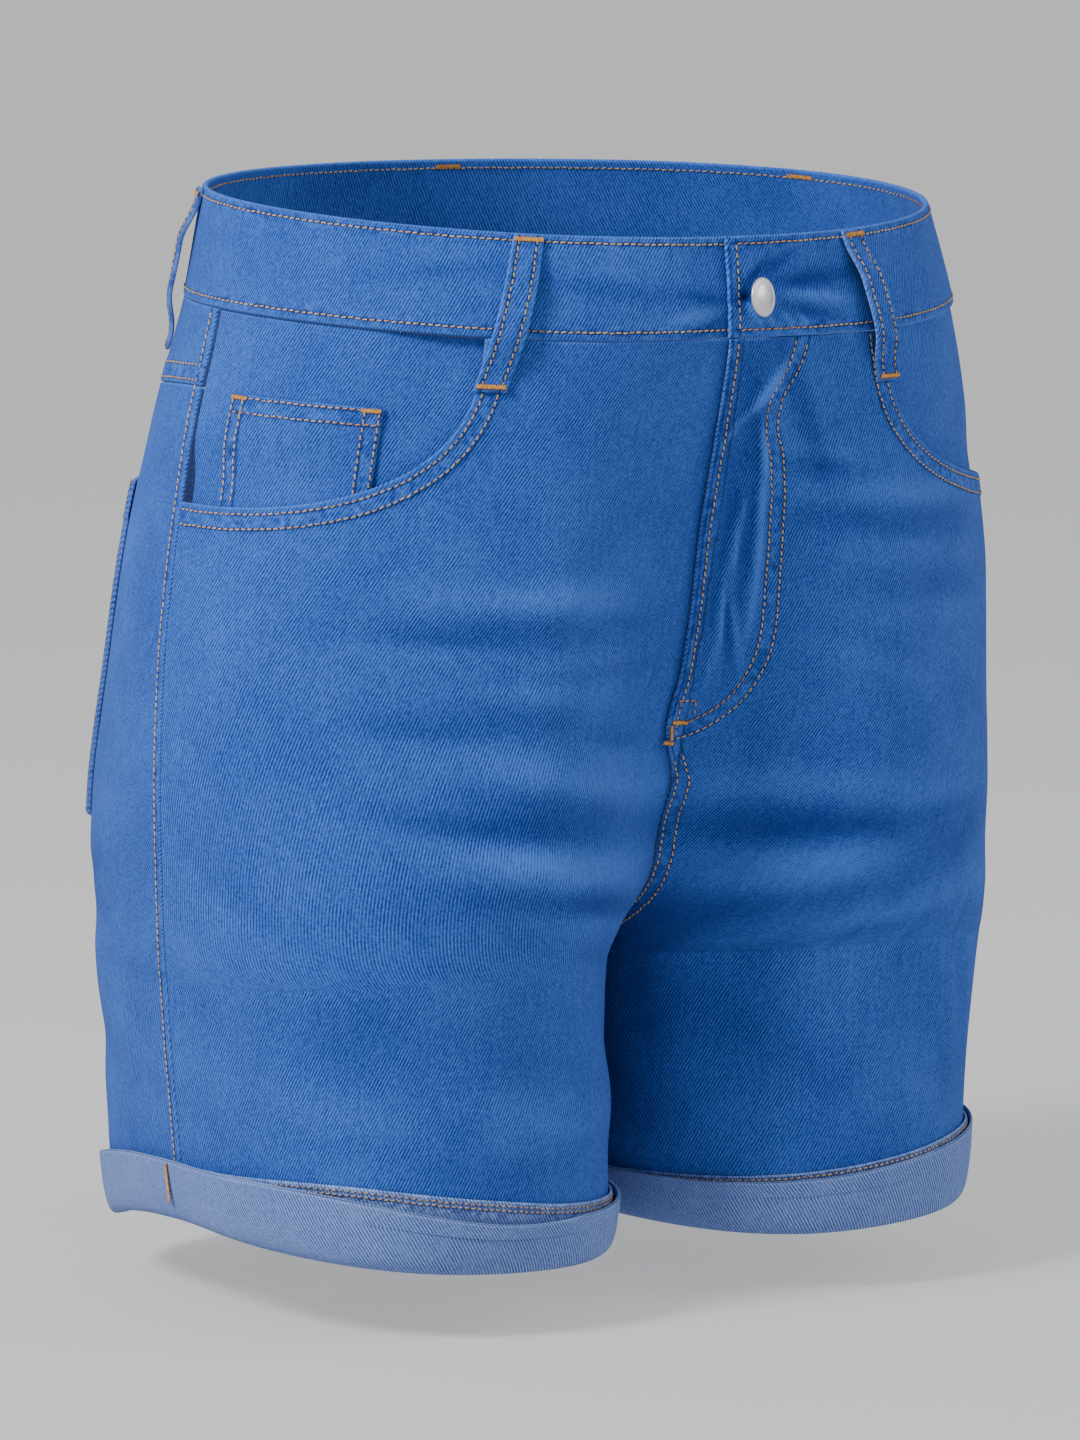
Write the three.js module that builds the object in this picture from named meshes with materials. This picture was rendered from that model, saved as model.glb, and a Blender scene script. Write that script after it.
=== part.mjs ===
import * as THREE from 'three';

// Denim shorts with turned-up cuffs, buttoned and standing open as if filled out.
// Units are millimetres. +Z is up, the front faces -Y and the wearer's right is -X.
// The origin is the centre of the waist, half way down the waistband.
// A place on the cloth is given by two numbers. "across" runs from 0 at the centre front to 0.5 at
// the side seam and 1 at the centre back, and is negative on the wearer's right. "drop" is measured
// down the side from the top of the waistband.

// Driving dimensions
const BAND_HEIGHT = 40;
const CROTCH_DROP = 292;
const OUTSEAM = 388;
const CLOTH = 1.6;
const BAND_CLOTH = 2.4;
const FACING_CLOTH = 1.2;
const SEAM_GAP = 0.3;
const LAYER_GAP = 0.5;
const TUCK_GAP = 1;
const HALF_GIRTH = 475;

// The body of the shorts, level by level. half_width is taken to the side, front and back are the
// depths from the section's middle, and hollow is how far the lower belly falls back at the centre.
const LEVELS = [
  { drop: 0, half_width: 149, front: 109, back: 104, middle: -9, hollow: 0 },
  { drop: 40, half_width: 158, front: 116, back: 115, middle: -12, hollow: 7 },
  { drop: 90, half_width: 169, front: 118, back: 130, middle: -10, hollow: 16 },
  { drop: 150, half_width: 178, front: 115, back: 149, middle: -10, hollow: 27 },
  { drop: 210, half_width: 179, front: 109, back: 154, middle: -7, hollow: 32 },
  { drop: 250, half_width: 177, front: 107, back: 145, middle: -3, hollow: 26 },
  { drop: 290, half_width: 173, front: 106, back: 128, middle: 3, hollow: 12 },
  { drop: 340, half_width: 166, front: 108, back: 121, middle: 8, hollow: 0 },
  { drop: 388, half_width: 161, front: 110, back: 118, middle: 9, hollow: 0 },
];

// How each level is tipped to the back, bowed down at front and back, and squared at its corners.
const BALANCE = [
  { drop: 0, tip: 0.10, bow: -2, square: 0 },
  { drop: 40, tip: 0.06, bow: -3, square: 0 },
  { drop: 290, tip: -0.03, bow: 3, square: 0.03 },
  { drop: 388, tip: 0.02, bow: -3, square: 0.06 },
];
const FRONT_VALLEY = 126;
const BACK_VALLEY = 136;
const CROTCH_ROUND = 20;
const LEG_SPREAD = 6;
const HOLLOW_REACH = 85;

// Soft folds. across and drop give the middle, reach and width are half sizes in millimetres,
// turn is the slope in degrees and a negative height is a trough.
const FOLDS = [
  { across: -0.15, drop: 147, reach: 40, width: 9, turn: 1, height: 1.9 },
  { across: -0.15, drop: 184, reach: 30, width: 8, turn: 5, height: 1.2 },
  { across: -0.12, drop: 221, reach: 44, width: 9, turn: 10, height: 1.9 },
  { across: -0.15, drop: 240, reach: 40, width: 8, turn: 7, height: -1.7 },
  { across: -0.15, drop: 256, reach: 38, width: 9, turn: 5, height: 2.4 },
  { across: -0.33, drop: 318, reach: 55, width: 15, turn: 10, height: -1.5 },
  { across: -0.16, drop: 345, reach: 45, width: 12, turn: -12, height: 1.6 },
  { across: 0.08, drop: 230, reach: 36, width: 9, turn: 3, height: 1.8 },
  { across: 0.10, drop: 248, reach: 44, width: 8, turn: 2, height: -2.1 },
  { across: 0.09, drop: 266, reach: 42, width: 9, turn: -1, height: 2.3 },
  { across: 0.26, drop: 262, reach: 60, width: 14, turn: -5, height: -1.6 },
  { across: 0.34, drop: 300, reach: 26, width: 9, turn: 78, height: 1.2 },
  { across: 0.30, drop: 338, reach: 40, width: 10, turn: 62, height: -1.4 },
  { across: 0.13, drop: 330, reach: 45, width: 12, turn: 20, height: -1.5 },
  { across: -0.72, drop: 281, reach: 70, width: 14, turn: -7, height: -2.8 },
  { across: -0.80, drop: 308, reach: 60, width: 14, turn: -12, height: 1.8 },
  { across: -0.64, drop: 322, reach: 45, width: 12, turn: 15, height: -1.6 },
  { across: 0.74, drop: 280, reach: 66, width: 14, turn: 8, height: -2.6 },
  { across: 0.82, drop: 307, reach: 62, width: 14, turn: 13, height: 1.9 },
  { across: 0.67, drop: 318, reach: 44, width: 12, turn: -18, height: -1.7 },
];

// Front pockets. The near edge of each mouth is where the photograph puts it.
const POCKET_NEAR = { right: 0.217, left: 0.144 };
const POCKET_DROP = 111.5;
const POCKET_ROUND = 3;
const POCKET_TUCK = 1.14;
const BAG_DROP = 215;

// Fly. The left front laps over the right one down to the end of the opening.
const FLY_END = 222;
const FLY_FLAT = 246;
const FLY_RISE = CLOTH + 0.8;
const FLY_WIDTH = 0.05;

// Yoke, cuffs and the lap of the waistband
const YOKE_SIDE = 69;
const YOKE_CENTRE = 94;
const BAND_FACE = 0.6;
const BAND_LIFT = 1.4;
const BAND_OVER_END = -0.011;
const BAND_UNDER_END = 0.062;

const DENIM = 0x3f6db4;
const DENIM_REVERSE = 0x7d9ccb;
const POCKETING = 0xd9dbd8;
const TAPE = 0x35455f;
const METAL = 0xd7d9da;

const lerp = THREE.MathUtils.lerp;
const clamp = THREE.MathUtils.clamp;
const smooth = (x, from, to) => THREE.MathUtils.smoothstep(x, from, to);

// Values of a table between its rows, on a smooth curve through them.
function read(rows, drop, column) {
  const last = rows.length - 1;
  let i = 0;
  while (i < last - 1 && drop >= rows[i + 1].drop) {
    i += 1;
  }
  const slope = (k) => {
    const below = rows[Math.max(k - 1, 0)];
    const above = rows[Math.min(k + 1, last)];
    return (above[column] - below[column]) / (above.drop - below.drop);
  };
  const step = rows[i + 1].drop - rows[i].drop;
  const s = (drop - rows[i].drop) / step;
  const bend = s * s * (3 - 2 * s);
  const enter = s * (1 - s) * (1 - s) * step * slope(i);
  const leave = s * s * (1 - s) * step * slope(i + 1);
  return lerp(rows[i][column], rows[i + 1][column], bend) + enter - leave;
}

// A point on the bare body of the shorts. Above the crotch each side is an open arc that reaches
// the centre plane, and the arc closes into a leg as the valley between the legs deepens.
function bodyPoint(across, drop) {
  let place = across;
  if (place > 1) {
    place -= 2;
  } else if (place < -1) {
    place += 2;
  }
  const side = place < 0 ? -1 : 1;
  const u = Math.abs(place);
  const wide = read(LEVELS, drop, 'half_width');
  const square = read(BALANCE, drop, 'square');
  const above = CROTCH_DROP - drop;
  const rise = above > 0 ? (above * above) / (above + CROTCH_ROUND) : 0;
  const valleyFront = (1 - clamp(rise / FRONT_VALLEY, 0, 1)) ** 2;
  const valleyBack = (1 - clamp(rise / BACK_VALLEY, 0, 1)) ** 2;
  const start = -Math.asin(valleyFront);
  const end = Math.PI + Math.asin(valleyBack);
  const angle = lerp(start, end, u);
  const inFront = angle < Math.PI / 2;
  const valley = inFront ? valleyFront : valleyBack;
  const spread = LEG_SPREAD * clamp(-above / (OUTSEAM - CROTCH_DROP), 0, 1);
  const radius = above >= 0 ? wide / (1 + valley) : (wide - spread) / 2;
  const centre = above >= 0 ? (valley * wide) / (1 + valley) : (wide + spread) / 2;
  const outside = angle > 0 && angle < Math.PI;
  const corner = outside ? 1 : smooth(-above, 0, 60);
  const swell = 1 + square * corner * Math.sin(2 * angle) ** 2;
  const x = centre + radius * Math.sin(angle) * swell;
  const depth = inFront ? read(LEVELS, drop, 'front') : read(LEVELS, drop, 'back');
  let y = read(LEVELS, drop, 'middle') - depth * Math.cos(angle) * swell;
  if (inFront) {
    const near = Math.cos((Math.PI / 2) * clamp(Math.abs(x) / HOLLOW_REACH, 0, 1)) ** 2;
    y += read(LEVELS, drop, 'hollow') * smooth(above, 0, 60) * near;
  }
  const tip = read(BALANCE, drop, 'tip');
  const bow = read(BALANCE, drop, 'bow');
  const z = BAND_HEIGHT / 2 - drop + tip * y + bow * (y / 100) ** 2;
  return new THREE.Vector3(side * (x + SEAM_GAP / 2), y, z);
}

// The outward direction at a place. Below the fly each side keeps its own, up to the centre seam.
function outward(across, drop) {
  const stepAcross = 0.004;
  let low = across - stepAcross;
  let high = across + stepAcross;
  if (drop > FLY_END) {
    const side = across < 0 ? -1 : 1;
    const inside = (v) => side * clamp(side * v, 0.0001, 0.9999);
    low = inside(low);
    high = inside(high);
  }
  let up = drop - 1;
  let down = drop + 1;
  if (drop <= CROTCH_DROP) {
    down = Math.min(down, CROTCH_DROP);
  } else {
    up = Math.max(up, CROTCH_DROP);
  }
  const along = bodyPoint(high, drop).sub(bodyPoint(low, drop));
  const fall = bodyPoint(across, down).sub(bodyPoint(across, up));
  return fall.cross(along).normalize();
}

function foldHeight(across, drop) {
  let height = 0;
  for (const fold of FOLDS) {
    const sideways = (across - fold.across) * HALF_GIRTH;
    const below = drop - fold.drop;
    const turn = THREE.MathUtils.degToRad(fold.turn);
    const along = sideways * Math.cos(turn) + below * Math.sin(turn);
    const over = below * Math.cos(turn) - sideways * Math.sin(turn);
    height += fold.height * Math.exp(-((along / fold.reach) ** 2) - (over / fold.width) ** 2);
  }
  const u = Math.abs(across);
  const nearInseam = 1 - smooth(u, 0, 0.06) * smooth(1 - u, 0, 0.06);
  const inLeg = 1 - nearInseam * smooth(drop, 235, CROTCH_DROP);
  return height * inLeg * (1 - smooth(drop, 345, 368));
}

// A point on the cloth, lift millimetres outside its outer face.
function onCloth(across, drop, lift) {
  const out = outward(across, drop);
  const point = bodyPoint(across, drop);
  return point.addScaledVector(out, lift + foldHeight(across, drop));
}

// The leg's lower end hangs lower at the inseam, rises to the side tack and dips behind it.
function legEnd(across) {
  const u = Math.abs(across);
  const tack = 1.5 * Math.exp(-(((u - 0.5) / 0.035) ** 2));
  const sway = 3 * Math.cos(2 * Math.PI * u);
  const behind = (across < 0 ? 11 : 6) * smooth(u, 0.53, 0.66) * (1 - smooth(u, 0.82, 0.98));
  return OUTSEAM - tack + sway + behind;
}

// The corner that a front pocket's mouth leaves in the front, at an angle from 0 to 90 degrees.
// A scale over 1 gives the edges of the pieces tucked under the front.
function pocketEdge(side, angle, scale = 1) {
  const near = POCKET_NEAR[side];
  const top = BAND_HEIGHT + SEAM_GAP;
  const c = Math.cos(angle);
  const s = Math.sin(angle);
  const reach = scale / (c ** POCKET_ROUND + s ** POCKET_ROUND) ** (1 / POCKET_ROUND);
  const seam = 0.5 - SEAM_GAP / 2 / HALF_GIRTH;
  return { u: seam - (seam - near) * reach * c, drop: top + (POCKET_DROP - top) * reach * s };
}

// How far a place is out from the pocket's upper outer corner, where 1 is the pocket's edge.
function pocketReach(side, u, drop) {
  const a = (0.5 - u) / (0.5 - POCKET_NEAR[side]);
  const b = (drop - BAND_HEIGHT) / (POCKET_DROP - BAND_HEIGHT);
  return (Math.max(a, 0) ** POCKET_ROUND + Math.max(b, 0) ** POCKET_ROUND) ** (1 / POCKET_ROUND);
}

// The facing dips under the front's edge, and further where the coin pocket goes under as well.
function facingLift(side, u, drop) {
  const layers = side === 'right' ? 2 : 1;
  const open = -0.7 - 0.4 * layers;
  const under = -CLOTH - TUCK_GAP - (layers - 1) * (FACING_CLOTH + LAYER_GAP);
  return lerp(open, under, smooth(pocketReach(side, u, drop), 0.62, 0.92));
}

// Solids

function closedGeometry(positions, faces) {
  const corner = (k) => new THREE.Vector3().fromArray(positions, 3 * k);
  let volume = 0;
  for (let k = 0; k < faces.length; k += 3) {
    const [a, b, c] = [corner(faces[k]), corner(faces[k + 1]), corner(faces[k + 2])];
    volume += a.dot(b.cross(c));
  }
  if (volume < 0) {
    faces.reverse();
  }
  const geometry = new THREE.BufferGeometry();
  geometry.setAttribute('position', new THREE.Float32BufferAttribute(positions, 3));
  geometry.setIndex(faces);
  geometry.computeVertexNormals();
  return geometry;
}

// A wall of cloth. place(i, j) gives across, drop and lift at row i down and column j along.
function wall(rows, columns, thickness, place) {
  const positions = [];
  for (const inset of [0, thickness]) {
    for (let i = 0; i <= rows; i += 1) {
      for (let j = 0; j <= columns; j += 1) {
        const { across, drop, lift } = place(i, j);
        positions.push(...onCloth(across, drop, lift - inset).toArray());
      }
    }
  }
  const width = columns + 1;
  const inner = (rows + 1) * width;
  const at = (i, j) => i * width + j;
  const faces = [];
  const quad = (a, b, c, d) => faces.push(a, b, c, a, c, d);
  for (let i = 0; i < rows; i += 1) {
    for (let j = 0; j < columns; j += 1) {
      quad(at(i, j), at(i + 1, j), at(i + 1, j + 1), at(i, j + 1));
      quad(inner + at(i, j), inner + at(i, j + 1), inner + at(i + 1, j + 1), inner + at(i + 1, j));
    }
    quad(at(i + 1, 0), at(i, 0), inner + at(i, 0), inner + at(i + 1, 0));
    quad(at(i, columns), at(i + 1, columns), inner + at(i + 1, columns), inner + at(i, columns));
  }
  for (let j = 0; j < columns; j += 1) {
    quad(at(0, j), at(0, j + 1), inner + at(0, j + 1), inner + at(0, j));
    quad(at(rows, j + 1), at(rows, j), inner + at(rows, j), inner + at(rows, j + 1));
  }
  return closedGeometry(positions, faces);
}

// A ring swept round a leg, from a closed profile of lift and drop.
function ring(columns, profileAt) {
  const positions = [];
  const faces = [];
  let count = 0;
  for (let j = 0; j < columns; j += 1) {
    const profile = profileAt(j / columns);
    count = profile.length;
    for (const { across, drop, lift } of profile) {
      positions.push(...onCloth(across, drop, lift).toArray());
    }
  }
  for (let j = 0; j < columns; j += 1) {
    for (let k = 0; k < count; k += 1) {
      const a = j * count + k;
      const b = j * count + ((k + 1) % count);
      const c = ((j + 1) % columns) * count + ((k + 1) % count);
      const d = ((j + 1) % columns) * count + k;
      faces.push(a, b, c, a, c, d);
    }
  }
  return closedGeometry(positions, faces);
}

const shorts = new THREE.Group();

function add(name, geometry, color, metalness = 0) {
  const roughness = metalness > 0 ? 0.35 : 0.9;
  const material = new THREE.MeshStandardMaterial({ color, roughness, metalness });
  const mesh = new THREE.Mesh(geometry, material);
  mesh.name = name;
  shorts.add(mesh);
  return mesh;
}

const SIDES = { right: -1, left: 1 };
const SEAM = SEAM_GAP / 2 / HALF_GIRTH;

// Rows of a leg panel. They close up towards the crotch, where the centre seam turns under.
const RISE_ROWS = 24;
const LEG_ROWS = 8;
const CLOSING = 1.6;

function panelDrop(i, riseRows, top, bottom) {
  if (i <= riseRows) {
    return lerp(CROTCH_DROP, top, (1 - i / riseRows) ** CLOSING);
  }
  return lerp(CROTCH_DROP, bottom, (i - riseRows) / LEG_ROWS);
}

// Fronts, from the centre seam to the side seam, with the pocket's corner cut out of each.
const FRONT_COLUMNS = 15;
const INNER_COLUMNS = { right: 6, left: 4 };

// The left front's edge passes over the centre, most of all just above the end of the fly.
const FLY_EDGE = [
  { drop: 40, across: -0.011 },
  { drop: 80, across: -0.0135 },
  { drop: 115, across: -0.0145 },
  { drop: 150, across: -0.0118 },
  { drop: 180, across: -0.0115 },
  { drop: 192, across: -0.0155 },
  { drop: 204, across: -0.0175 },
  { drop: 222, across: 0 },
];

function flyLap(drop) {
  return drop < FLY_END ? read(FLY_EDGE, drop, 'across') : 0;
}

function flyRise(across, drop) {
  const down = 1 - smooth(drop, FLY_END, FLY_FLAT);
  return FLY_RISE * down * (1 - smooth(across, 0.012, FLY_WIDTH));
}

function front(side) {
  const sign = SIDES[side];
  const near = POCKET_NEAR[side];
  const inner = INNER_COLUMNS[side];
  const lapped = side === 'left';
  return wall(RISE_ROWS + LEG_ROWS, FRONT_COLUMNS, CLOTH, (i, j) => {
    let top = { u: lerp(SEAM, near, (j / inner) ** 1.5), drop: BAND_HEIGHT + SEAM_GAP };
    if (j > inner) {
      top = pocketEdge(side, (Math.PI / 2) * ((j - inner) / (FRONT_COLUMNS - inner)));
    }
    const hem = clamp((0.5 * j) / FRONT_COLUMNS, SEAM, 0.5 - SEAM);
    const bottom = legEnd(sign * hem) - 1;
    const drop = panelDrop(i, RISE_ROWS, top.drop, bottom);
    const s = (drop - top.drop) / (bottom - top.drop);
    let u = lerp(top.u, hem, s);
    if (lapped && j < 2) {
      u += flyLap(drop) * (1 - j / 2);
    }
    return { across: sign * u, drop, lift: lapped ? flyRise(u, drop) : 0 };
  });
}
add('front_right', front('right'), DENIM);
add('front_left', front('left'), DENIM);

// Hip facings that show inside the pocket mouths, and the flat bags below them.
function facing(side) {
  const rows = 5;
  const columns = 11;
  return wall(rows, columns, FACING_CLOTH, (i, j) => {
    const t = j / columns;
    const edge = pocketEdge(side, lerp(0.2, Math.PI / 2, t), POCKET_TUCK);
    const start = pocketEdge(side, 0, POCKET_TUCK).u;
    const u = lerp(lerp(start, 0.5 - SEAM, t), edge.u, i / rows);
    const drop = lerp(BAND_HEIGHT + SEAM_GAP, edge.drop, i / rows);
    return { across: SIDES[side] * u, drop, lift: facingLift(side, u, drop) };
  });
}

function pocketBag(side) {
  const rows = 6;
  const columns = 8;
  return wall(rows, columns, 2, (i, j) => {
    const t = j / columns;
    const top = pocketEdge(side, lerp(0.5, 1.35, t), POCKET_TUCK + 0.01);
    const bottom = BAG_DROP - 28 * Math.abs(2 * t - 1) ** 2.5;
    const u = lerp(top.u, lerp(POCKET_NEAR[side], 0.44, t), i / rows);
    return { across: SIDES[side] * u, drop: lerp(top.drop, bottom, i / rows), lift: -CLOTH - TUCK_GAP };
  });
}
for (const side of ['right', 'left']) {
  add(`hip_facing_${side}`, facing(side), DENIM);
  add(`pocket_bag_${side}`, pocketBag(side), POCKETING);
}

// Coin pocket on the right facing, its lower end tucked under the front.
const COIN = { top: 69.5, near: 0.2915, far: 0.448, tuck: 1.07 };

function coinPocket() {
  const rows = 6;
  const columns = 7;
  const wide = 0.5 - POCKET_NEAR.right;
  return wall(rows, columns, FACING_CLOTH, (i, j) => {
    const u = lerp(COIN.near, COIN.far, j / columns);
    const a = (0.5 - u) / wide;
    const b = (COIN.tuck ** POCKET_ROUND - a ** POCKET_ROUND) ** (1 / POCKET_ROUND);
    const bottom = BAND_HEIGHT + (POCKET_DROP - BAND_HEIGHT) * b;
    const drop = lerp(COIN.top, bottom, i / rows);
    return { across: -u, drop, lift: facingLift('right', u, drop) + FACING_CLOTH + LAYER_GAP };
  });
}
add('coin_pocket', coinPocket(), DENIM);

// Yokes and backs, from the side seam to the centre back seam.
const BACK_COLUMNS = 15;
const BACK_RISE_ROWS = 13;
const yokeSeam = (u) => lerp(YOKE_SIDE, YOKE_CENTRE, clamp(2 * u - 1, 0, 1) ** 1.5);

function yoke(side) {
  const rows = 3;
  return wall(rows, BACK_COLUMNS, CLOTH, (i, j) => {
    const u = lerp(0.5 + SEAM, 1 - SEAM, j / BACK_COLUMNS);
    const drop = lerp(BAND_HEIGHT + SEAM_GAP, yokeSeam(u) - SEAM_GAP / 2, i / rows);
    return { across: SIDES[side] * u, drop, lift: 0 };
  });
}

function back(side) {
  return wall(BACK_RISE_ROWS + LEG_ROWS, BACK_COLUMNS, CLOTH, (i, j) => {
    const u = lerp(0.5 + SEAM, 1 - SEAM, j / BACK_COLUMNS);
    const across = SIDES[side] * u;
    const top = yokeSeam(u) + SEAM_GAP / 2;
    return { across, drop: panelDrop(i, BACK_RISE_ROWS, top, legEnd(across) - 1), lift: 0 };
  });
}

// Back pockets, wider at the mouth and pointed below.
const POCKET_GAP = 1.3;
const BACK_POCKET = { near: 0.645, far: 0.905, top: 111, corner: 240, point: 256 };

function backPocket(side) {
  const rows = 8;
  const columns = 8;
  return wall(rows, columns, CLOTH, (i, j) => {
    const t = j / columns;
    const s = i / rows;
    const inset = 0.012 * s;
    const u = lerp(BACK_POCKET.near + inset, BACK_POCKET.far - inset, t);
    const bottom = lerp(BACK_POCKET.point, BACK_POCKET.corner, Math.abs(2 * t - 1));
    return { across: SIDES[side] * u, drop: lerp(BACK_POCKET.top, bottom, s), lift: CLOTH + POCKET_GAP };
  });
}
for (const side of ['right', 'left']) {
  add(`yoke_${side}`, yoke(side), DENIM);
  add(`back_${side}`, back(side), DENIM);
  add(`back_pocket_${side}`, backPocket(side), DENIM);
}

// Waistband, one strip from its over end at the fly round the back to its under end.
const BAND_COLUMNS = 68;

function waistband() {
  const rows = 3;
  const length = 2 + BAND_UNDER_END - BAND_OVER_END;
  return wall(rows, BAND_COLUMNS, BAND_CLOTH, (i, j) => {
    const along = (length * j) / BAND_COLUMNS;
    const over = 1 - smooth(along, 0.075, 0.125);
    const under = smooth(along, length - 0.115, length - 0.07);
    let across = BAND_OVER_END + along;
    if (across > 1) {
      across -= 2;
    }
    return { across, drop: (BAND_HEIGHT * i) / rows, lift: BAND_FACE + BAND_LIFT * (over - under) };
  });
}
add('waistband', waistband(), DENIM);

// Cuffs, each a deep fold turned up outside the leg. The outer wall leans off the leg at its top.
const CUFF_COLUMNS = 2 * FRONT_COLUMNS;
const CUFF_WALL = 1.8;
const CUFF_HUG = { right: { at: 0.62, by: 0.3 }, left: { at: 0.36, by: 0.42 } };
const CUFF_INNER = -CLOTH - 1.1;
const CUFF_PROFILE = [
  { lift: 5.8, rise: 22.5 },
  { lift: 5.3, rise: 14 },
  { lift: 4.3, rise: 6.5 },
  { lift: 2.7, rise: 1.2 },
  { lift: 0, rise: -1.6 },
  { lift: -2.8, rise: -0.6 },
  { lift: CUFF_INNER - CUFF_WALL, rise: 3 },
  { lift: CUFF_INNER - CUFF_WALL, rise: 15 },
  { lift: CUFF_INNER, rise: 15 },
  { lift: CUFF_INNER, rise: 3.2 },
  { lift: -1.6, rise: 0.9 },
  { lift: 0.7, rise: 0.7 },
  { lift: 2.5, rise: 6.5 },
  { lift: 3.5, rise: 14 },
  { lift: 4.0, rise: 22.5 },
];

function cuff(side) {
  const sign = SIDES[side];
  return ring(CUFF_COLUMNS, (t) => {
    const across = sign * clamp(t, SEAM, 1 - SEAM);
    const end = legEnd(across) + 0.5;
    const height = 1 - 0.28 * Math.cos(2 * Math.PI * (t - 0.1)) * (1 - smooth(t, 0.35, 0.5));
    const thigh = ((1 + Math.cos(2 * Math.PI * t)) / 2) ** 3;
    const hug = CUFF_HUG[side].by * Math.exp(-(((t - CUFF_HUG[side].at) / 0.13) ** 2));
    return CUFF_PROFILE.map(({ lift, rise }) => {
      const tall = rise > 15 ? rise * height : rise;
      const stand = lift > 0 ? lift * (1 - 0.28 * thigh - hug) : lift;
      return { across, drop: end - tall, lift: stand };
    });
  });
}
add('cuff_right', cuff('right'), DENIM_REVERSE);
add('cuff_left', cuff('left'), DENIM_REVERSE);

// Belt loops. Each is sewn down at both ends and stands off the band between them.
const LOOP_WIDTH = 12.5;
const LOOP_CLOTH = 1.8;
const LOOP_TOP = 0.8;
const LOOP_BOTTOM = 61;
const LOOPS = [
  { name: 'belt_loop_front_right', top: -0.180, bottom: -0.209, stand: 3.6 },
  { name: 'belt_loop_front_left', top: 0.126, bottom: 0.143, stand: 3.4 },
  { name: 'belt_loop_back_right', top: -0.605, bottom: -0.645, stand: 4.0 },
  { name: 'belt_loop_back_left', top: 0.625, bottom: 0.648, stand: 4.2 },
  { name: 'belt_loop_centre_back', top: 0.975, bottom: 0.978, stand: 6.7 },
];

for (const loop of LOOPS) {
  const rows = 12;
  const columns = 2;
  const geometry = wall(rows, columns, LOOP_CLOTH, (i, j) => {
    const s = i / rows;
    const drop = lerp(LOOP_TOP, LOOP_BOTTOM, s);
    const halfWidth = LOOP_WIDTH / HALF_GIRTH / 2;
    const across = lerp(loop.top, loop.bottom, s) + lerp(-halfWidth, halfWidth, j / columns);
    const seat = lerp(BAND_FACE, 0, smooth(drop, BAND_HEIGHT + 4, BAND_HEIGHT + 12));
    const bulge = loop.stand * smooth(s, 0.06, 0.34) * (1 - smooth(s, 0.62, 0.93));
    return { across, drop, lift: LOOP_CLOTH + LAYER_GAP + seat + bulge };
  });
  add(loop.name, geometry, DENIM);
}

// Zip, hidden behind the fly: its tape and its slider run up to the closed end.
function zipTape() {
  const rows = 9;
  const columns = 4;
  return wall(rows, columns, 1, (i, j) => {
    const drop = lerp(44, 200, i / rows);
    return { across: lerp(-0.02, 0.036, j / columns), drop, lift: -CLOTH - 0.8 };
  });
}
add('zip_tape', zipTape(), TAPE);

// A small piece set on the cloth, its own +Z pointing out of it and its +Y up.
function setOnCloth(mesh, across, drop, lift) {
  const out = outward(across, drop);
  const across3 = new THREE.Vector3(0, 0, 1).cross(out).normalize();
  const up = out.clone().cross(across3);
  mesh.quaternion.setFromRotationMatrix(new THREE.Matrix4().makeBasis(across3, up, out));
  mesh.position.copy(onCloth(across, drop, lift));
}

const sliderOutline = new THREE.Shape();
sliderOutline.moveTo(-2, -16);
sliderOutline.lineTo(2, -16);
sliderOutline.lineTo(2, -4.5);
sliderOutline.lineTo(2.6, -4.5);
sliderOutline.lineTo(3.6, 4);
sliderOutline.quadraticCurveTo(0, 7, -3.6, 4);
sliderOutline.lineTo(-2.6, -4.5);
sliderOutline.lineTo(-2, -4.5);
sliderOutline.closePath();
const sliderGeometry = new THREE.ExtrudeGeometry(sliderOutline, { depth: 1.6, bevelEnabled: false, curveSegments: 4 });
setOnCloth(add('zip_slider', sliderGeometry, METAL, 0.8), 0.0095, 54, -2.0);

// Button, a low domed disc on a short neck.
const BUTTON_RADIUS = 7.4;
const buttonProfile = [
  [0, 0],
  [2.6, 0],
  [2.6, 0.7],
  [BUTTON_RADIUS - 0.6, 0.7],
  [BUTTON_RADIUS, 1.3],
  [BUTTON_RADIUS, 1.9],
  [BUTTON_RADIUS - 0.8, 2.6],
  [BUTTON_RADIUS - 2.6, 3.1],
  [0, 3.4],
].map(([radius, height]) => new THREE.Vector2(radius, height));
const buttonGeometry = new THREE.LatheGeometry(buttonProfile, 20).rotateX(Math.PI / 2);
const buttonLift = BAND_FACE + BAND_LIFT + SEAM_GAP;
setOnCloth(add('button', buttonGeometry, METAL, 0.8), 0.0155, 24.5, buttonLift);

export default shorts;
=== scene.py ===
"""Denim shorts with turned-up cuffs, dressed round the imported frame.

Lengths in the tables are millimetres and the meshes are metres. A place on the cloth is given by
"across", from 0 at the centre front to 0.5 at the side seam and 1 at the centre back, negative on
the wearer's right, and by "drop", measured down the side from the top of the waistband. "lift" is
the height outside the cloth's outer face.
"""

import math

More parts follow.
